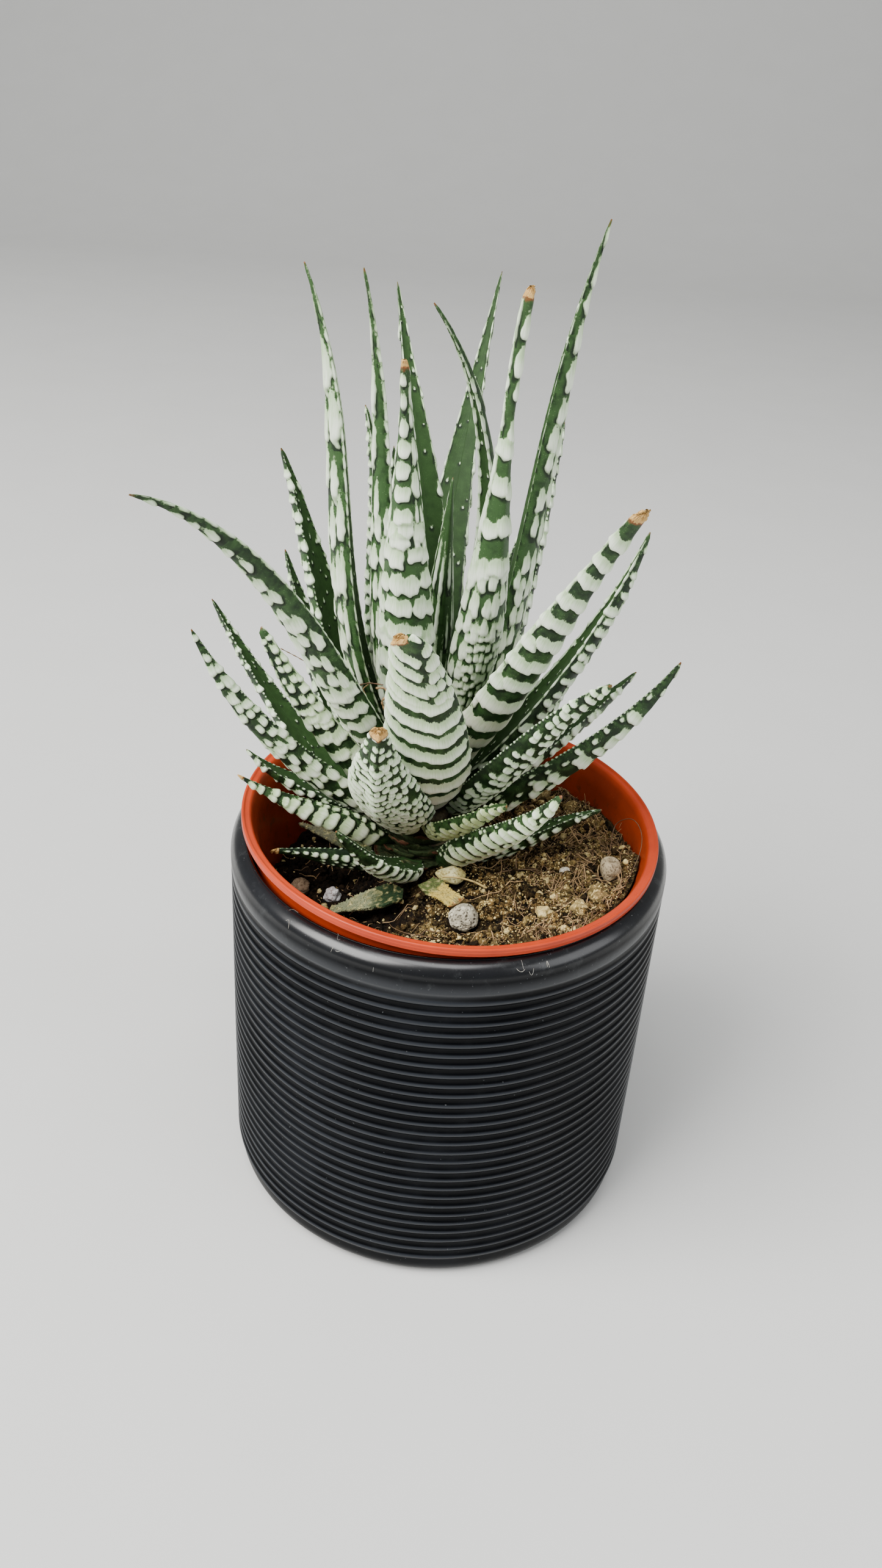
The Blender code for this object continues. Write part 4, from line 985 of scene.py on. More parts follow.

# %% [markdown]
# ## Terracotta plastic
# The lip is bright orange-red and a little shiny. Down the inside the wall is painted a darker red,
# painted shade for the inside of the pot, and it is stained brown by splashed soil, more so near
# the soil and at the back, and fine scratches run round it.

# %% Plastic finish
def plastic_finish():
    made = begin("terracotta plastic")
    place = object_place()
    inside = attribute("inside")
    cloud = grain(place, 90, 5, 0.62)
    lip = blend(between(cloud, 0.35, 0.7), (0.50, 0.046, 0.009), (0.40, 0.034, 0.007))
    # painted shade: the wall inside the pot is given a darker red than the lip
    wall = blend(between(cloud, 0.3, 0.7), (0.37, 0.038, 0.007), (0.27, 0.028, 0.006))
    splash = grain(place, 420, 6, 0.7)
    stain = between(splash, 0.5, 0.72) * (between(attribute("level"), 0.985, 0.9) * inside)
    colour = blend(stain * 0.85, blend(inside, lip, wall), (0.055, 0.030, 0.016))
    specks = between(grain(place, 1900, 2, 0.5), 0.7, 0.76, 0, 0.5)
    colour = blend(specks * 0.5, colour, (0.42, 0.22, 0.12))
    scratches = grain(stretched(place, (60.0, 60.0, 2600.0)), 1.0, 3.0, 0.5)
    surface(colour, spread(splash, 0.3, 0.44), scratches, 0.00008, 0.25, 0.3)
    shader.inputs["Subsurface Weight"].default_value = 0.08
    shader.inputs["Subsurface Radius"].default_value = (0.002, 0.0006, 0.0004)
    return made


# %% Nursery pot
def soft_wall(ring, turns):
    """Thin plastic: the lip waves gently and is not quite round."""
    near_lip = step_up(ring[:, :, 2], HEIGHT - 8, HEIGHT)
    ring[:, :, :2] *= (1 - near_lip * (0.0012 + 0.0012 * np.sin(2 * turns + 0.8)[None]))[..., None]
    ring[:, :, 2] += near_lip * (0.08 * np.sin(3 * turns + 2.0) + 0.05 * np.sin(5 * turns))[None]
    return ring


def cut_drain_holes(pot):
    """Takes a ring of round holes out of the pot's floor."""
    holes = bmesh.new()
    for turn in full_turn(DRAIN_HOLES):
        across = (DRAIN_RING_RADIUS * math.cos(turn), DRAIN_RING_RADIUS * math.sin(turn), 0.4)
        place = nursery_matrix() @ Matrix.Translation(across)
        place.translation *= MM
        bmesh.ops.create_cone(holes, cap_ends=True, segments=32, radius1=DRAIN_RADIUS * MM,
                              radius2=DRAIN_RADIUS * MM, depth=4 * MM, matrix=place)
    mesh = bpy.data.meshes.new("drain holes")
    holes.to_mesh(mesh)
    holes.free()
    cutter = bpy.data.objects.new("drain holes", mesh)
    bpy.context.scene.collection.objects.link(cutter)
    cut = pot.modifiers.new("drain holes", "BOOLEAN")
    cut.operation, cut.solver, cut.object = "DIFFERENCE", "EXACT", cutter
    pierced = bpy.data.meshes.new_from_object(pot.evaluated_get(bpy.context.evaluated_depsgraph_get()))
    pot.modifiers.clear()
    pot.data = pierced
    bpy.data.objects.remove(cutter)
    bpy.data.meshes.remove(mesh)


points, faces = spin(nursery_profile(), 224, soft_wall)
wall_middle = FOOT_RADIUS + (TOP_RADIUS - FOOT_RADIUS) * points[:, 2] / (HEIGHT - LIP_DEPTH) - 0.45
inside = (np.hypot(points[:, 0], points[:, 1]) < wall_middle) | (points[:, 2] < 0.5)
# the inside mark carries the painted shade of the inner wall and its soil stains
nursery = piece("nursery_pot_fine", carried(points), faces, plastic_finish(), "nursery_plastic",
                ("nursery_pot",), inside=inside & (points[:, 2] < HEIGHT - 0.8), level=points[:, 2] / HEIGHT)
cut_drain_holes(nursery)
print("nursery pot: faces", len(nursery.data.polygons), "drain holes", DRAIN_HOLES)

# %% [markdown]
# ## The soil
# The soil is a plug of peat with sand, bark and coconut fibre in it. Its surface is a fan of
# points between the stem and the pot's wall. Three sizes of noise lift and lower them: clods,
# crumbs and grit. Under each stone the surface is pressed down, so that the stone sits in it.

# %% Soil surface
SOIL_LEVEL, SOIL_SLOPE, SOIL_FRONT_RISE = 60.6, 0.16, 3.2
STEM_FOOT, STEM_RADIUS, STEM_HOLE = 54.0, 4.9, 5.4
STEM_CLEAR = 6.5                             # no grains or fibres nearer to the stem's line
PEBBLES = {  # x, y, size, turn
    "pebble_oval": (0.7, -7.2, (4.9, 3.4, 3.0), 5),
    "pumice_speckled": (3.2, -19.3, (5.2, 4.4, 4.2), 0),
    "perlite_white": (-19.5, -5.7, (3.2, 2.8, 2.6), 20),
    "pebble_tan": (-25.3, -3.0, (3.4, 3.0, 3.0), 40),
    "pebble_beige": (27.2, -7.6, (3.4, 4.0, 4.4), 10),
    "pebble_small_white": (19.7, -6.8, (1.8, 1.6, 1.7), 30),
}


def soil_height(x, y):
    ramp_front = np.clip((5 - y) / 9, 0, 1)
    ramp_side = np.clip((x + 16) / 14, 0, 1)
    rise = SOIL_FRONT_RISE * ramp_front**2 * (3 - 2 * ramp_front) * ramp_side**2 * (3 - 2 * ramp_side)
    lumps = 0.35 * np.sin(0.9 * x + 1.3) * np.cos(0.8 * y) + 0.25 * np.sin(1.7 * y + 0.6 * x)
    return SOIL_LEVEL + SOIL_SLOPE * x + rise + lumps


def noise_at(points, size, seed=0.0):
    """Smooth noise, about -1 to 1, with lumps of the given size in millimetres."""
    shift = Vector((seed * 17.3, seed * 5.1, seed * 9.7))
    values = np.array([noise.noise(Vector(p) / size + shift) for p in points.reshape(-1, 3)]) * 1.6
    return values.reshape(points.shape[:-1])


def rough_ground(x, y):
    """Height of the crumbly surface over the smooth one."""
    flat = np.stack([x, y, 0 * x], 1)
    clods, crumbs, grit = noise_at(flat, 3.4, 1), noise_at(flat, 1.1, 2), noise_at(flat, 0.6, 3)
    lift = 0.95 * np.sign(clods) * np.abs(clods) ** 0.8 + 0.62 * np.abs(crumbs) + 0.26 * grit - 0.35
    for px, py, size, turn in PEBBLES.values():
        near = np.hypot(x - px, y - py) / (0.5 * max(size[:2]) + 0.3)
        lift = lift * step_up(near, 0.8, 1.5) - 0.35 * size[2] * (1 - step_up(near, 0.5, 1.05))
    return lift


def ground_at(x, y):
    x, y = np.atleast_1d(x), np.atleast_1d(y)
    return soil_height(x, y) + rough_ground(x, y)


def soil_points(steps=300, rings=100):
    """The ring of points at the stem, the surface, and the side down the nursery pot's wall."""
    turns = full_turn(steps)
    foot, top, wall_height = FOOT_RADIUS - 1.2, TOP_RADIUS - 1.2, HEIGHT - LIP_DEPTH - WALL

    def wall(levels):
        return carried(circle(foot + (top - foot) * (levels - WALL) / wall_height, turns, levels))

    levels = np.full(steps, 50.0)
    for _ in range(8):
        edge = wall(levels)
        levels = levels + soil_height(edge[:, 0], edge[:, 1]) - edge[:, 2]
    edge = wall(levels)
    hub = circle(STEM_HOLE, turns)
    rows = [stem_axis(STEM_FOOT - STEM_RADIUS * STEM_LEAN[1] - 0.3) + hub]
    for share in np.linspace(0, 1, rings):
        spot = (stem_axis(SOIL_LEVEL) + hub) * (1 - share) + edge * share
        spot[:, 2] = soil_height(spot[:, 0], spot[:, 1])
        ends = min(1, (1 - share) / 0.03, share / 0.05 + 0.1)
        spot[:, 2] += ends * rough_ground(spot[:, 0], spot[:, 1])
        rows.append(spot)
    rows += [wall(levels * 0.97), wall(levels * 0.7), wall(0 * turns + 25), wall(0 * turns + 1.2)]
    return np.array(rows)


print("soil height:", round(float(soil_height(0, -25)), 1), "mm in front,",
      round(float(soil_height(-25, 0)), 1), "mm at the left")

# %% [markdown]
# ## Soil finish
# Peat is nearly black where it is wet and low, as at the left, and dry and tan with cream sand
# where it is high, at the right and the front. The same share also paints light: the left and the
# low hollows are painted darker as shade, and the high parts at the right and the front paler as
# lit. One attribute says where a point is between the two, and the same finish serves the clods
# and the grains.

# %% Soil finish
def soil_finish():
    made = begin("peat and sand")
    place = object_place()
    dryness = attribute("dryness")
    fine = grain(place, 1100, 5, 0.75)
    wet = blend(between(fine, 0.4, 0.66), (0.0025, 0.0016, 0.0010), (0.016, 0.009, 0.004))
    dry = blend(between(fine, 0.4, 0.62), (0.010, 0.005, 0.0015), (0.27, 0.165, 0.055))
    dry = blend(between(grain(place, 260, 4, 0.6), 0.5, 0.66, 0, 0.7), dry, (0.44, 0.31, 0.11))
    sand = between(grain(place, 2600, 2, 0.5), 0.58, 0.64)
    colour = blend(sand * (dryness * 0.9), blend(dryness, wet, dry), (0.82, 0.64, 0.28))
    chalk = blend(between(fine, 0.35, 0.6), (0.46, 0.33, 0.10), (0.86, 0.70, 0.34))
    surface(blend(attribute("pale"), colour, chalk), spread(fine, 0.78, 0.98), fine, 0.0004, 0.8, 0.1)
    return made


def dryness_at(x, y):
    """0 in the damp hollow at the left, 1 on the dry mound at the right and the front. Partly painted
    light: the left is painted darker as shade, the right and the front paler as lit.
    """
    side = step_up(x - 0.25 * np.minimum(y + 18, 0), -8, 3)
    front = step_up(-y, 17, 23) * step_up(x, -14, -6)
    return np.clip(np.maximum(side, front), 0, 1)


earth = soil_finish()
surface_grid = soil_points()
x, y, z = surface_grid.reshape(-1, 3).T
# partly painted shade: the low parts between the clods keep the dark colour, only the high ones turn pale
high = np.clip(z - soil_height(x, y) + 0.5, 0, 1)
soil = ring_piece("soil_fine", surface_grid, earth, "soil_mix", ("soil",),
                  dryness=dryness_at(x, y) * 0.62 * high**1.6, pale=0)
print("soil: faces", len(soil.data.polygons))

# %% [markdown]
# ## Clods, grains and sand
# Grains are copies of a small rounded solid, each with its own size, stretch, turn and dents,
# all joined in one mesh. There are three crowds: clods of one to three millimetres, crumbs of
# about two thirds of one, and sand of a third of one that gathers in patches. The lumps that
# stand out in the photo have places of their own.

# %% Grains
CLODS, CRUMBS, SAND = 90, 3200, 11000
WALL_REACH = 31.6                            # how far from the pot's middle grains and fibres may lie
SINGLE_LUMPS = (  # x, y, size, dryness, paleness
    (16.0, -17.3, 2.5, 1.0, 0.75), (16.5, 23.5, 3.4, 0.7, 0.25), (24.6, -14.6, 3.4, 0.9, 0.15),
    (22.0, 18.4, 3.8, 0.9, 0.1), (18.8, 20.6, 3.0, 0.8, 0.1), (14.5, -11.5, 2.4, 0.1, 0.0),
    (12.5, -8.0, 2.0, 0.9, 0.5), (8.0, -26.5, 3.0, 0.7, 0.1), (21.8, -17.6, 2.4, 0.9, 0.3),
    (-20.5, -9.5, 2.4, 0.5, 0.3), (-23.5, -8.5, 2.2, 0.5, 0.1), (-1.5, -24.5, 2.2, 0.9, 0.5),
)


def ball(level):
    shape = bmesh.new()
    bmesh.ops.create_icosphere(shape, subdivisions=level, radius=1.0)
    points = np.array([vert.co[:] for vert in shape.verts])
    faces = np.array([[vert.index for vert in face.verts] for face in shape.faces])
    shape.free()
    return points, faces


def random_turn(rng):
    """A rotation matrix from a random unit quaternion."""
    quaternion = rng.normal(size=4)
    w, x, y, z = quaternion / np.linalg.norm(quaternion)
    return np.array([[1 - 2 * (y * y + z * z), 2 * (x * y - z * w), 2 * (x * z + y * w)],
                     [2 * (x * y + z * w), 1 - 2 * (x * x + z * z), 2 * (y * z - x * w)],
                     [2 * (x * z - y * w), 2 * (y * z + x * w), 1 - 2 * (x * x + y * y)]])


def off_the_soil(x, y, spare=0.0):
    """True beyond the pot's wall and at the stem."""
    return math.hypot(x - 0.3, y) > WALL_REACH - spare or math.hypot(x - STEM_X, y - STEM_Y) < STEM_CLEAR


def on_a_stone(x, y):
    return any(math.hypot(x - px, y - py) < 0.5 * max(size[:2]) + 0.5 for px, py, size, _ in PEBBLES.values())


def free_spot(rng, choose, spare=0.0):
    """A random place on the soil that the rule accepts, inside the wall and off the stones."""
    while True:
        x, y = rng.uniform(-33, 33, 2)
        if off_the_soil(x, y, spare) or on_a_stone(x, y):
            continue
        if rng.random() < choose(x, y):
            return x, y


def grains(name, spots, level, dent, sink, rng):
    """One mesh of grains, from a list of x, y, size, dryness and paleness."""
    base, base_faces = ball(level)
    points = []
    for number, (x, y, size, dry, white) in enumerate(spots):
        stretch = rng.uniform(0.65, 1.2, 3) * size / 2
        lumps = noise_at(base, 0.7, number % 97 + 3)
        if level > 2:
            lumps = lumps + 0.45 * noise_at(base, 0.2, number % 89)
        turned = (base * (1 + dent * lumps[:, None]) * stretch) @ random_turn(rng).T
        points.append(turned + np.array([x, y, ground_at(x, y)[0] + sink * size]))
    faces = base_faces[None] + np.arange(len(spots))[:, None, None] * len(base)
    dry, white = np.repeat(np.array(spots)[:, 3:], len(base), 0).T
    piece(name, np.vstack(points), faces.reshape(-1, 3).tolist(), earth, "soil_mix", dryness=dry, pale=white)


def crowd(name, count, level, smallest, largest, dent, sink, choose, pale_share, rng):
    """Grains at random places; more of them are pale on the dry, lit side of the soil."""
    spots = []
    for _ in range(count):
        size = smallest * (largest / smallest) ** rng.random()
        x, y = free_spot(rng, choose, 0.6 * size)
        dry = min(1, dryness_at(x, y) * rng.uniform(0.0, 1.05))
        white = rng.uniform(0.4, 1) if rng.random() < pale_share * (0.25 + dry) else 0
        spots.append((x, y, size, dry, white))
    grains(name, spots, level, dent, sink, rng)


def patchy(x, y):
    return step_up(noise.noise(Vector((x, y, 0)) / 5.0), -0.25, 0.35)


rng = np.random.default_rng(11)
crowd("soil_clods", CLODS, 3, 1.3, 2.8, 0.50, 0.05, lambda x, y: 0.25 + 0.75 * (x > 4), 0.0, rng)
crowd("soil_crumbs", CRUMBS, 2, 0.35, 1.3, 0.34, 0.22, lambda x, y: 0.4 + 0.6 * patchy(x, y), 0.16, rng)
crowd("soil_sand", SAND, 1, 0.18, 0.46, 0.1, 0.34,
      lambda x, y: 0.04 + patchy(x + 9, y) * dryness_at(x, y), 0.50, rng)
grains("soil_lumps", SINGLE_LUMPS, 3, 0.35, 0.1, rng)
print("clods:", CLODS, "crumbs:", CRUMBS, "grains of sand:", SAND, "single lumps:", len(SINGLE_LUMPS))

# %% [markdown]
# ## Fibres
# Coconut fibre lies over the soil in loose curls and thickens towards the right. A fibre is a
# thin tube round a curve that wanders a little at each step. Each is drawn from the same seeded
# source, so the picture is the same every time. The fibres that stand out go through points of
# their own, and so does a stalk of straw.

# %% Fibres
SINGLE_FIBRES = (  # points on the way, thickness
    (((27.4, -2.3, 68.6), (28.6, 3.0, 71.4), (30.4, 0.6, 74.2), (31.6, -4.5, 75.4), (31.2, -10.0, 75.0),
      (29.8, -13.4, 73.0), (28.4, -14.8, 70.0), (27.2, -15.8, 67.4)), 0.085),
    (((24.0, -1.0, 66.6), (26.5, -4.0, 69.0), (28.7, -9.0, 70.0), (28.4, -13.0, 69.4),
      (26.6, -16.2, 67.2)), 0.08),
    (((7.0, -5.9, 64.6), (10.5, -5.2, 65.6), (14.5, -5.0, 66.0), (18.3, -5.5, 66.0)), 0.16),
    (((19.8, -13.4, 66.0), (24.0, -13.8, 67.4), (27.4, -13.6, 69.0), (29.2, -13.2, 70.0)), 0.14),
    (((8.5, -8.6, 64.6), (9.0, -6.8, 65.4), (9.2, -4.4, 65.9), (8.8, -2.0, 66.6)), 0.17),
    (((1.5, -23.4, 63.6), (-2.0, -23.0, 64.0), (-5.5, -22.0, 63.6), (-8.0, -19.5, 62.6),
      (-8.8, -17.0, 61.4)), 0.08),
    (((14.0, -23.0, 65.6), (17.5, -20.6, 66.4), (20.5, -20.4, 66.8), (21.5, -22.6, 66.6)), 0.08),
)
STRAW_STALK = ((-0.6, -9.2, 66.1), (1.6, -9.5, 66.4), (4.2, -9.9, 66.2), (7.6, -10.8, 65.2))


def through(points, count=40):
    """A smooth path through the given points."""
    points = np.asarray(points, float)
    at = np.concatenate([[0], np.cumsum(np.linalg.norm(np.diff(points, axis=0), axis=1))])
    fine = np.linspace(0, at[-1], count)
    return np.stack([hermite(fine, at, column, np.gradient(column, at)) for column in points.T], 1)


def tube(path, radii, sides=5):
    """Rings round a path."""
    ahead = np.gradient(path, axis=0)
    ahead /= np.maximum(np.linalg.norm(ahead, axis=1), 1e-9)[:, None]
    across = np.cross(ahead, (0.13, 0.22, 0.97))
    across /= np.maximum(np.linalg.norm(across, axis=1), 1e-9)[:, None]
    other = np.cross(ahead, across)
    turn_x, turn_y, _ = circle(1, full_turn(sides)).T[:, None, :, None]
    return path[:, None] + radii[:, None, None] * (turn_x * across[:, None] + turn_y * other[:, None])


def joined(name, grids, finish, slot, **marks):
    """Many grids of rings in one mesh, and the values at the points of each."""
    faces, count = [], 0
    for grid in grids:
        faces += [tuple(i + count for i in face) for face in ring_faces(*grid.shape[:2])]
        count += grid[..., 0].size
    marks = {title: np.concatenate([np.ravel(one) for one in values]) for title, values in marks.items()}
    piece(name, np.vstack([grid.reshape(-1, 3) for grid in grids]), faces, finish, slot, **marks)


def strands(name, paths, finish, slot):
    """Many tubes in one mesh; the tone of each is its own."""
    tubes = [tube(path, radii) for path, radii in paths]
    tones = [np.full(grid.shape[:2], (number * 0.618) % 1) for number, grid in enumerate(tubes)]
    joined(name, tubes, finish, slot, tone=tones)


def fibre_finish(name, dark, pale):
    made = begin(name)
    streak = grain(object_place(), 800, 3)
    colour = blend(attribute("tone"), dark, pale)
    colour = blend(between(streak, 0.4, 0.7, 0, 0.5), colour, (0.060, 0.032, 0.016))
    surface(colour, spread(streak, 0.5, 0.75), streak, 0.0001, 0.5)
    return made


def lying_fibre(rng, x, y, length, curl, lift, thick):
    """A path that starts on the soil, wanders over it, and rises by up to the lift."""
    steps = max(8, int(length / 0.8))
    heading = rng.uniform(0, math.tau)
    bend = rng.normal(0, curl)
    spots = [(x, y)]
    for _ in range(steps):
        bend += rng.normal(0, curl * 0.5)
        heading += bend * length / steps / 3
        nx = spots[-1][0] + math.cos(heading) * length / steps
        ny = spots[-1][1] + math.sin(heading) * length / steps
        if off_the_soil(nx, ny):
            heading += 1.2
            nx, ny = (0.985 * value for value in spots[-1])
        spots.append((nx, ny))
    x, y = np.array(spots).T
    share = np.linspace(0, 1, len(spots))
    high = ground_at(x, y) + 0.1 + lift * share**1.5 * rng.uniform(0.3, 1)
    high += 0.25 * lift * np.sin(share * rng.uniform(3, 9) + rng.uniform(0, 6))
    return np.stack([x, y, np.maximum(high, ground_at(x, y) - 0.1)], 1), thick * (1 - 0.75 * share**2)


coir = fibre_finish("coconut fibre", (0.115, 0.060, 0.026), (0.46, 0.29, 0.13))
straw = fibre_finish("straw", (0.50, 0.36, 0.12), (0.62, 0.48, 0.20))
rng = np.random.default_rng(23)
paths = []
for number in range(760):
    x, y = free_spot(rng, lambda x, y: 0.06 + 0.94 * step_up(x + 0.2 * y, 4, 17) + 0.3 * (y < -22))
    length = rng.uniform(7, 15) if rng.random() < 0.3 else rng.uniform(2.5, 7)
    lift, thick = rng.choice((0.3, 0.9, 2.4), p=(0.4, 0.38, 0.22)), rng.uniform(0.05, 0.12)
    paths.append(lying_fibre(rng, x, y, length, 0.6, lift, thick))
strands("soil_fibres", paths, coir, "soil_mix")
singles = [(through(points), thick * np.linspace(1, 0.5, 40)) for points, thick in SINGLE_FIBRES]
strands("soil_single_fibres", singles, coir, "soil_mix")
strands("straw_stalk", [(through(STRAW_STALK), np.linspace(0.14, 0.24, 40))], straw, "soil_mix")
print("fibres:", len(paths) + len(singles))

# %% [markdown]
# ## Stones
# Each stone starts as the solid's own rounded form and is then roughened: pumice is pitted,
# perlite is lumpy, pebbles are nearly smooth. The speckled one has dark grains in its pits.

# %% Stones
STONES = {  # slot, two body colours, speck colour, share of specks, lumps, pits
    "pebble_oval": (
        "stone_oval", (0.48, 0.41, 0.15), (0.72, 0.67, 0.36), (0.26, 0.19, 0.06), 0.02, 0.06, 0.03),
    "pumice_speckled": (
        "stone_speckled", (0.33, 0.30, 0.22), (0.66, 0.61, 0.46), (0.040, 0.032, 0.022), 0.08, 0.08, 0.07),
    "perlite_white": (
        "stone_white", (0.42, 0.39, 0.38), (0.72, 0.71, 0.71), (0.16, 0.10, 0.08), 0.02, 0.16, 0.03),
    "pebble_tan": (
        "stone_tan", (0.20, 0.13, 0.08), (0.42, 0.30, 0.19), (0.10, 0.06, 0.035), 0.02, 0.14, 0.04),
    "pebble_beige": (
        "stone_beige", (0.26, 0.20, 0.12), (0.50, 0.41, 0.26), (0.10, 0.07, 0.04), 0.03, 0.04, 0.02),
    "pebble_small_white": (
        "stone_small_white", (0.52, 0.47, 0.38), (0.76, 0.72, 0.62), (0.30, 0.22, 0.12), 0.0, 0.10, 0.03),
}


def stone_finish(name, low, high, speck, speck_share):
    made = begin(name)
    place = object_place()
    fine = grain(place, 1500, 4, 0.65)
    colour = blend(between(grain(place, 320, 4, 0.6), 0.38, 0.62), low, high)
    colour = blend(between(fine, 0.62 - speck_share, 0.68 - speck_share) * 0.85, colour, speck)
    colour = blend(attribute("pit") * 0.75, colour, speck)
    surface(colour, spread(fine, 0.75, 0.95), fine, 0.00025, 0.8, 0.2)
    return made


sphere, sphere_faces = ball(6)
sphere_x, sphere_y, sphere_z = sphere.T
for seed, (name, (x, y, size, turn)) in enumerate(PEBBLES.items()):
    slot, *colours, lumps, pits = STONES[name]
    waves = (1 + 0.06 * np.sin(3 * sphere_x + seed) + 0.05 * np.sin(4 * sphere_y - 2 * seed)
             + 0.04 * np.cos(5 * sphere_z + seed))
    pit = np.clip(noise_at(sphere, 0.16, seed + 30) - 0.25, 0, 1)
    rough = 0.985 + lumps * noise_at(sphere, 0.55, seed + 1) - pits * 2.2 * pit
    rough = rough + 0.012 * noise_at(sphere, 0.07, seed)
    grown = sphere * (waves * rough)[:, None] * np.array(size) / 2
    turned = grown @ np.array(Matrix.Rotation(math.radians(turn), 3, "Z")).T
    place = np.array([x, y, soil_height(x, y) + 0.22 * size[2]])
    piece(name + "_fine", turned + place, sphere_faces.tolist(), stone_finish(name + " stone", *colours),
          slot, (name,), pit=np.clip(pit * 2.5, 0, 1))
print("stones:", len(PEBBLES))

# %% [markdown]
# ## Dead leaves
# Three leaves have dropped and dried. A dead leaf is flat and rough: its warts have shrunk to a
# crust, its edges are ragged, and its colour runs from green through olive to yellow and brown.

# %% Dead leaves
FALLEN = {  # foot x, y, height; azimuth; slopes; length, width, thickness, width of the tip
    "dead_leaf_left": (-7, -13, 64.4, 180, -20, -22, -24, 13, 6.0, 1.6, 2.5),
    "dead_leaf_right": (-3.4, -11.4, 66.2, -43, 2, 0, -4, 7.5, 4.5, 1.5, 3.6),
    "dead_leaf_back": (-14, 3.5, 61, 146, -4, -4, -6, 17, 3.4, 1.6, 0.8),
}
DEAD_COLOURS = {
    "dead_leaf_left": ((0.007, 0.024, 0.007), (0.19, 0.205, 0.115), (0.17, 0.17, 0.10)),
    "dead_leaf_right": ((0.085, 0.110, 0.030), (0.50, 0.37, 0.085), (0.22, 0.070, 0.016)),
    "dead_leaf_back": ((0.05, 0.075, 0.03), (0.16, 0.16, 0.10), (0.22, 0.19, 0.12)),
}


def dead_finish(name, foot, middle, end):
    made = begin(name)
    skin = attribute("skin", 1)
    spots = grain(skin, 1.6, 4, 0.65)
    shifted = attribute("share") + (grain(skin, 0.55, 3, 0.6) - 0.5) * 0.5
    colour = blend(between(shifted, 0.28, 0.48), foot, middle)
    colour = blend(between(shifted, 0.86, 0.98), colour, end)
    pale = blend(between(spots, 0.4, 0.62), (0.17, 0.17, 0.07), (0.60, 0.52, 0.23))
    colour = blend(attribute("crust") * 0.7, colour, pale)
    colour = blend(between(grain(skin, 4.5, 2, 0.6), 0.5, 0.36, 0, 0.75), colour, (0.040, 0.042, 0.014))
    surface(colour, spread(spots, 0.65, 0.92), spots, 0.0003, 0.8, 0.2)
    return made


for seed, (name, (x, y, height, azimuth, *rises, length, width, thick, tip)) in enumerate(FALLEN.items()):
    leaf = (azimuth, 0, STEM_AT, *rises, length, width, thick, tip, 0.7, 0)
    skin, along, across, half_arc = leaf_skin(leaf, 0.0, 0.11)
    skin = skin + (np.array([x, y, height]) - stem_axis(STEM_AT))
    crust, grit = noise_at(skin, 0.8, seed + 50), noise_at(skin, 0.3, seed + 60)
    side = skin - skin.mean(axis=1, keepdims=True)
    side /= np.maximum(np.linalg.norm(side, axis=2), 1e-9)[..., None]
    ragged = np.exp(-((np.abs(across) - 1) / 0.12) ** 2)[None]
    grow = 0.15 * np.clip(crust, -0.3, 1) + 0.13 * np.abs(grit) + ragged * (0.28 * grit - 0.12)
    fade = np.clip(np.minimum(along, length - along) / 0.4, 0, 1)[:, None]
    finish = dead_finish(name.replace("_", " "), *DEAD_COLOURS[name])
    ring_piece(name + "_fine", skin + side * (grow * fade)[..., None], finish, "dry_leaf", (name,),
               skin=skin_places(along, across, half_arc, seed * 5.0),
               share=np.repeat(along / length, len(across)), crust=np.clip(crust * 1.2, 0, 1))
print("dead leaves:", len(FALLEN))

# %% [markdown]
# ## Stem
# The stem hardly shows. It is a short brown-green core with the dry papery bases of old leaves
# round its foot.

# %% Stem
STEM_TOP, STEM_ROUNDING_FROM = 89.2, 84.5


def stem_finish():
    made = begin("stem tissue")
    fine = grain(object_place(), 700, 5, 0.65)
    colour = blend(between(fine, 0.35, 0.65), (0.045, 0.030, 0.014), (0.16, 0.13, 0.06))
    surface(colour, spread(fine, 0.7, 0.95), fine, 0.0003, 0.8)
    return made


turns = full_turn(72)
rings = []
for height in np.linspace(STEM_FOOT, STEM_TOP, 90):
    rounding = math.sqrt(max(1 - max(height - STEM_ROUNDING_FROM, 0) ** 2 / 24, 0.02))
    scars = (1 + 0.03 * np.sin(5 * turns + height)) * (1 + 0.05 * math.sin(height * 2.4)) * 0.93
    rings.append(stem_axis(height) + circle(STEM_RADIUS * rounding * scars, turns))
ring_piece("stem_fine", np.array(rings), stem_finish(), "stem_tissue", ("stem",))
print("stem: rings", len(rings))

# %% [markdown]
# Round its foot the stem still carries the bases of old leaves. Their blades are gone. What is
# left is short, broad and bent round the stem: dark green where it is fresh, papery and red-brown
# at the torn edge. They are made with the leaf's own rule, only very short.

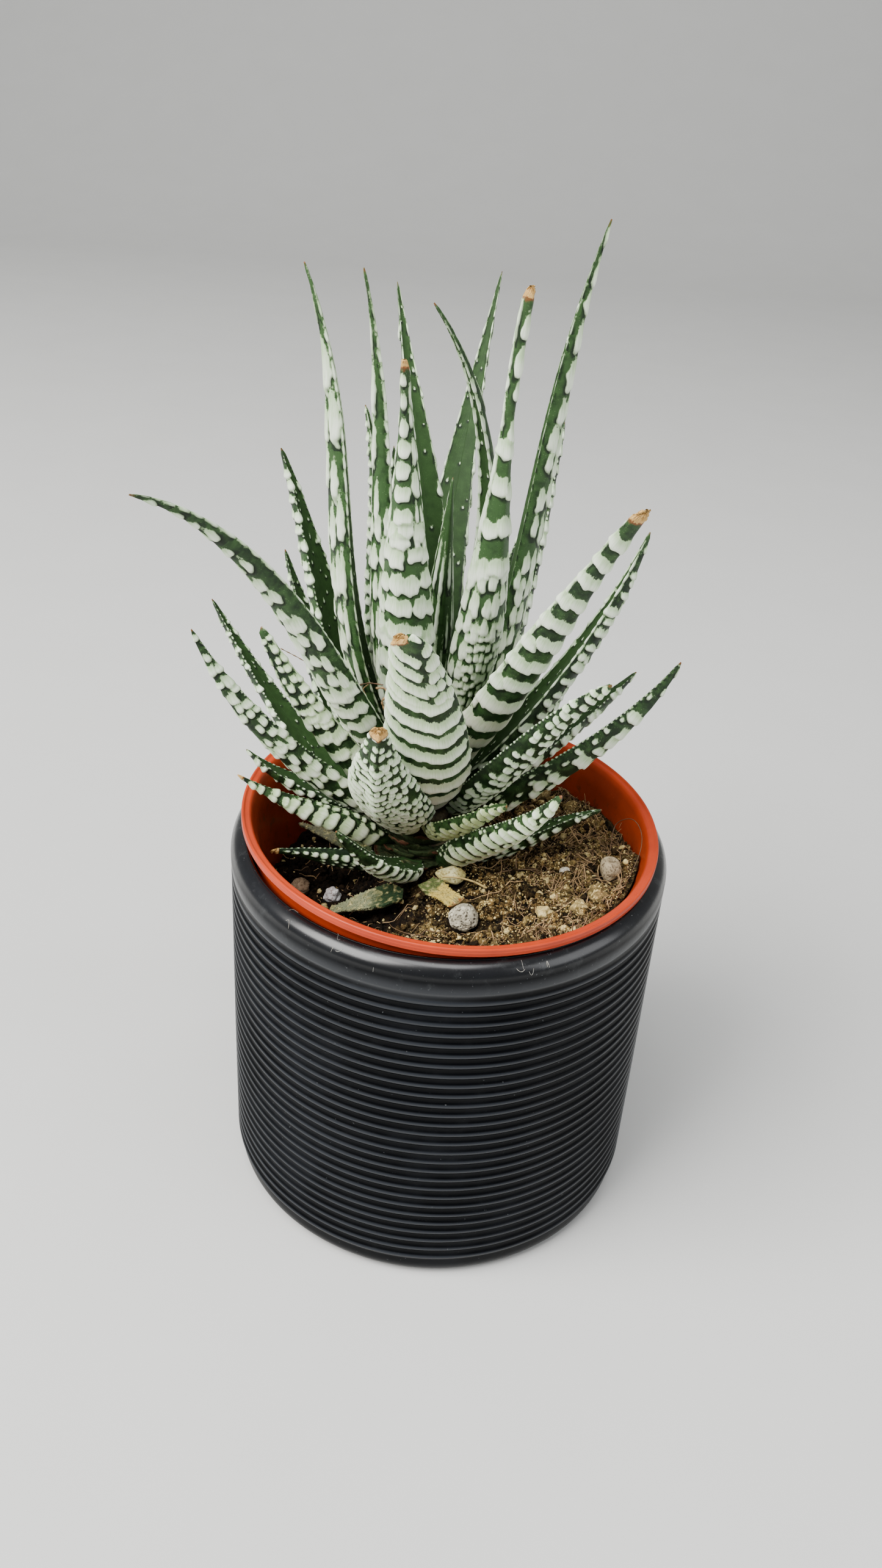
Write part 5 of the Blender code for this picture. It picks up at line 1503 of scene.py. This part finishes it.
# %% Old leaf bases
OLD_BASES = (  # direction, height, slope, length, width
    (-150, 64.6, 22, 5.6, 8.5), (-122, 66.2, 34, 6.0, 9.5), (-96, 63.6, 16, 6.2, 9.0),
    (-84, 67.4, 40, 4.8, 8.0), (-62, 65.6, 26, 6.4, 9.5), (-36, 63.4, 14, 6.2, 8.5),
    (-10, 65.0, 22, 6.0, 8.0), (40, 63.5, 18, 5.5, 8.0), (100, 64.0, 20, 5.5, 8.0),
    (150, 63.6, 18, 5.5, 8.0), (-172, 62.6, 10, 6.0, 8.0),
)
old_finish = dead_finish("old leaf base", (0.010, 0.030, 0.008), (0.026, 0.044, 0.014), (0.075, 0.026, 0.012))
grids, places, shares, crusts = [], [], [], []
for number, (azimuth, height, rise, length, width) in enumerate(OLD_BASES):
    leaf = (azimuth, 0, height, rise, rise, rise, length, width, 1.9, 4.4, 0.5, 0)
    skin, along, across, half_arc = leaf_skin(leaf, 2.6, 0.16)
    torn = noise_at(skin, 0.9, number + 80)
    skin[..., 2] += 0.25 * torn * (along / length)[:, None]
    grids.append(skin)
    places.append(skin_places(along, across, half_arc, number * 5.0))
    shares.append(np.repeat(0.15 + 0.85 * along / length, len(across)))
    crusts.append(np.clip(torn - 0.55, 0, 0.2))
joined("old_leaf_bases", grids, old_finish, "dry_leaf", skin=places, share=shares, crust=crusts)
print("old leaf bases:", len(OLD_BASES))

# %% [markdown]
# A dried flower stalk has left brown shreds in the gap beside the broad front leaf, and a thin
# dry thread spans two leaves on the left.

# %% Dry threads
THREADS = (  # points on the way, thickness
    (((-17.3, -4.0, 92.8), (-17.3, -4.3, 95.4), (-17.0, -4.5, 97.6), (-14.9, -5.0, 99.1),
      (-12.2, -6.0, 99.6)), 0.17),
    (((-13.3, -6.0, 98.9), (-12.0, -6.4, 99.2), (-11.3, -6.5, 98.4), (-12.2, -6.5, 97.0),
      (-11.7, -6.5, 95.3)), 0.24),
    (((-11.6, -6.5, 98.6), (-11.0, -6.8, 97.2), (-11.5, -6.9, 96.2), (-10.8, -6.9, 95.0)), 0.15),
    (((-14.6, -5.1, 99.0), (-15.4, -4.8, 97.9), (-14.9, -4.9, 96.9)), 0.13),
    (((-29.2, 0.0, 101.6), (-26.9, 1.0, 99.9), (-24.3, 2.0, 98.0), (-22.6, 2.6, 97.2)), 0.10),
)
uneven = 0.75 + 0.25 * np.sin(np.arange(40) * 1.1)
strands("dry_threads", [(through(points), thick * uneven) for points, thick in THREADS], coir, "dry_leaf")
print("dry threads:", len(THREADS))

# %% [markdown]
# A little lint has settled on the pot's shoulder. Each hair is a short curved path that lies on
# the rounded edge, found from its direction round the pot and its place on the curve.

# %% Lint on the shoulder
rng = np.random.default_rng(5)
share = np.linspace(0, 1, 9)
hairs = []
for _ in range(18):
    turn, rise = rng.uniform(0, math.tau), rng.uniform(20, 80)
    turns = turn + np.linspace(0, rng.uniform(-0.05, 0.05), 9)
    bend = rng.uniform(-90, 90)
    slope = rng.uniform(-25, 25) - 0.8 * bend
    rises = np.radians(np.clip(rise + slope * share + bend * share**2, 5, 88))
    reach = COVER_RADIUS - RIM_ROUNDING + (RIM_ROUNDING + 0.02) * np.cos(rises)
    path = circle(reach, turns, COVER_HEIGHT - RIM_ROUNDING + (RIM_ROUNDING + 0.02) * np.sin(rises))
    hairs.append((path, np.full(9, rng.uniform(0.014, 0.028))))
strands("shoulder_lint", hairs, fibre_finish("lint", (0.42, 0.42, 0.38), (0.60, 0.58, 0.50)), "soil_mix")
print("lint:", len(hairs))

# %% [markdown]
# ## Floor and light
# The plant stands on a plain pale floor that curves up behind it. A wide soft lamp above and to
# the left stands for a window, one overhead draws the long highlight on the pot's shoulder, a weak
# one fills from the right, and the rest is an even pale sky.

# %% Floor
pale_floor = begin("pale floor")
cloudy = blend(grain(object_place(), 30, 3), (0.62, 0.62, 0.60), (0.66, 0.66, 0.645))
put(shader.inputs["Base Color"], cloudy)
shader.inputs["Roughness"].default_value = 0.8
curve = [(0.9 + 0.5 * math.sin(a), 0.5 - 0.5 * math.cos(a)) for a in np.linspace(0.1, math.pi / 2, 12)]
profile = [(-1.2, 0.0), (0.9, 0.0), *curve, (1.4, 2.2)]
points = [(x, y, z) for y, z in profile for x in (-2.2, 2.2)]
faces = [(i, i + 1, i + 3, i + 2) for i in range(0, len(points) - 2, 2)]
floor = new_object("floor", points, faces, pale_floor)
floor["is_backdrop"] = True
print("floor: faces", len(faces))

# %% Lamps and sky
LAMPS = {  # place, aim, size, power, colour
    "window_lamp": ((-0.55, -0.35, 0.75), (0, 0, 0.08), (0.7, 0.6), 20.0, (1.0, 0.99, 0.97)),
    "top_lamp": ((-0.06, -0.22, 0.95), (0, 0, 0.07), (0.55, 0.35), 5.0, (1.0, 1.0, 1.0)),
    "fill_lamp": ((0.65, -0.25, 0.45), (0, 0, 0.06), (0.6, 0.5), 3.0, (0.97, 0.98, 1.0)),
}
for name, (place, aim, size, power, colour) in LAMPS.items():
    lamp = bpy.data.lights.new(name, "AREA")
    lamp.shape = "RECTANGLE"
    lamp.size, lamp.size_y = size
    lamp.energy = power
    lamp.color = colour
    made = bpy.data.objects.new(name, lamp)
    turn = (Vector(aim) - Vector(place)).to_track_quat("-Z", "Y").to_matrix().to_4x4()
    made.matrix_world = Matrix.Translation(Vector(place)) @ turn
    bpy.context.scene.collection.objects.link(made)
world = bpy.data.worlds.new("sky")
bpy.context.scene.world = world
world.use_nodes = True
sky = world.node_tree.nodes["Background"]
sky.inputs["Color"].default_value = (0.86, 0.88, 0.90, 1)
sky.inputs["Strength"].default_value = 0.36
print("lamps:", len(LAMPS))

# %% [markdown]
# ## Last step
# The sizes of both boxes, of the solid model and of the dressed one, are printed in millimetres.
# The finished model may not outgrow the solid one.

# %% Print the sizes of both boxes
dressed_box = [list(corner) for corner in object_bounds()]
for title, (low, high) in (("solid", solid_box), ("dressed", dressed_box)):
    print(title, [f"{(b - a) / MM:.1f} mm" for a, b in zip(low, high)])
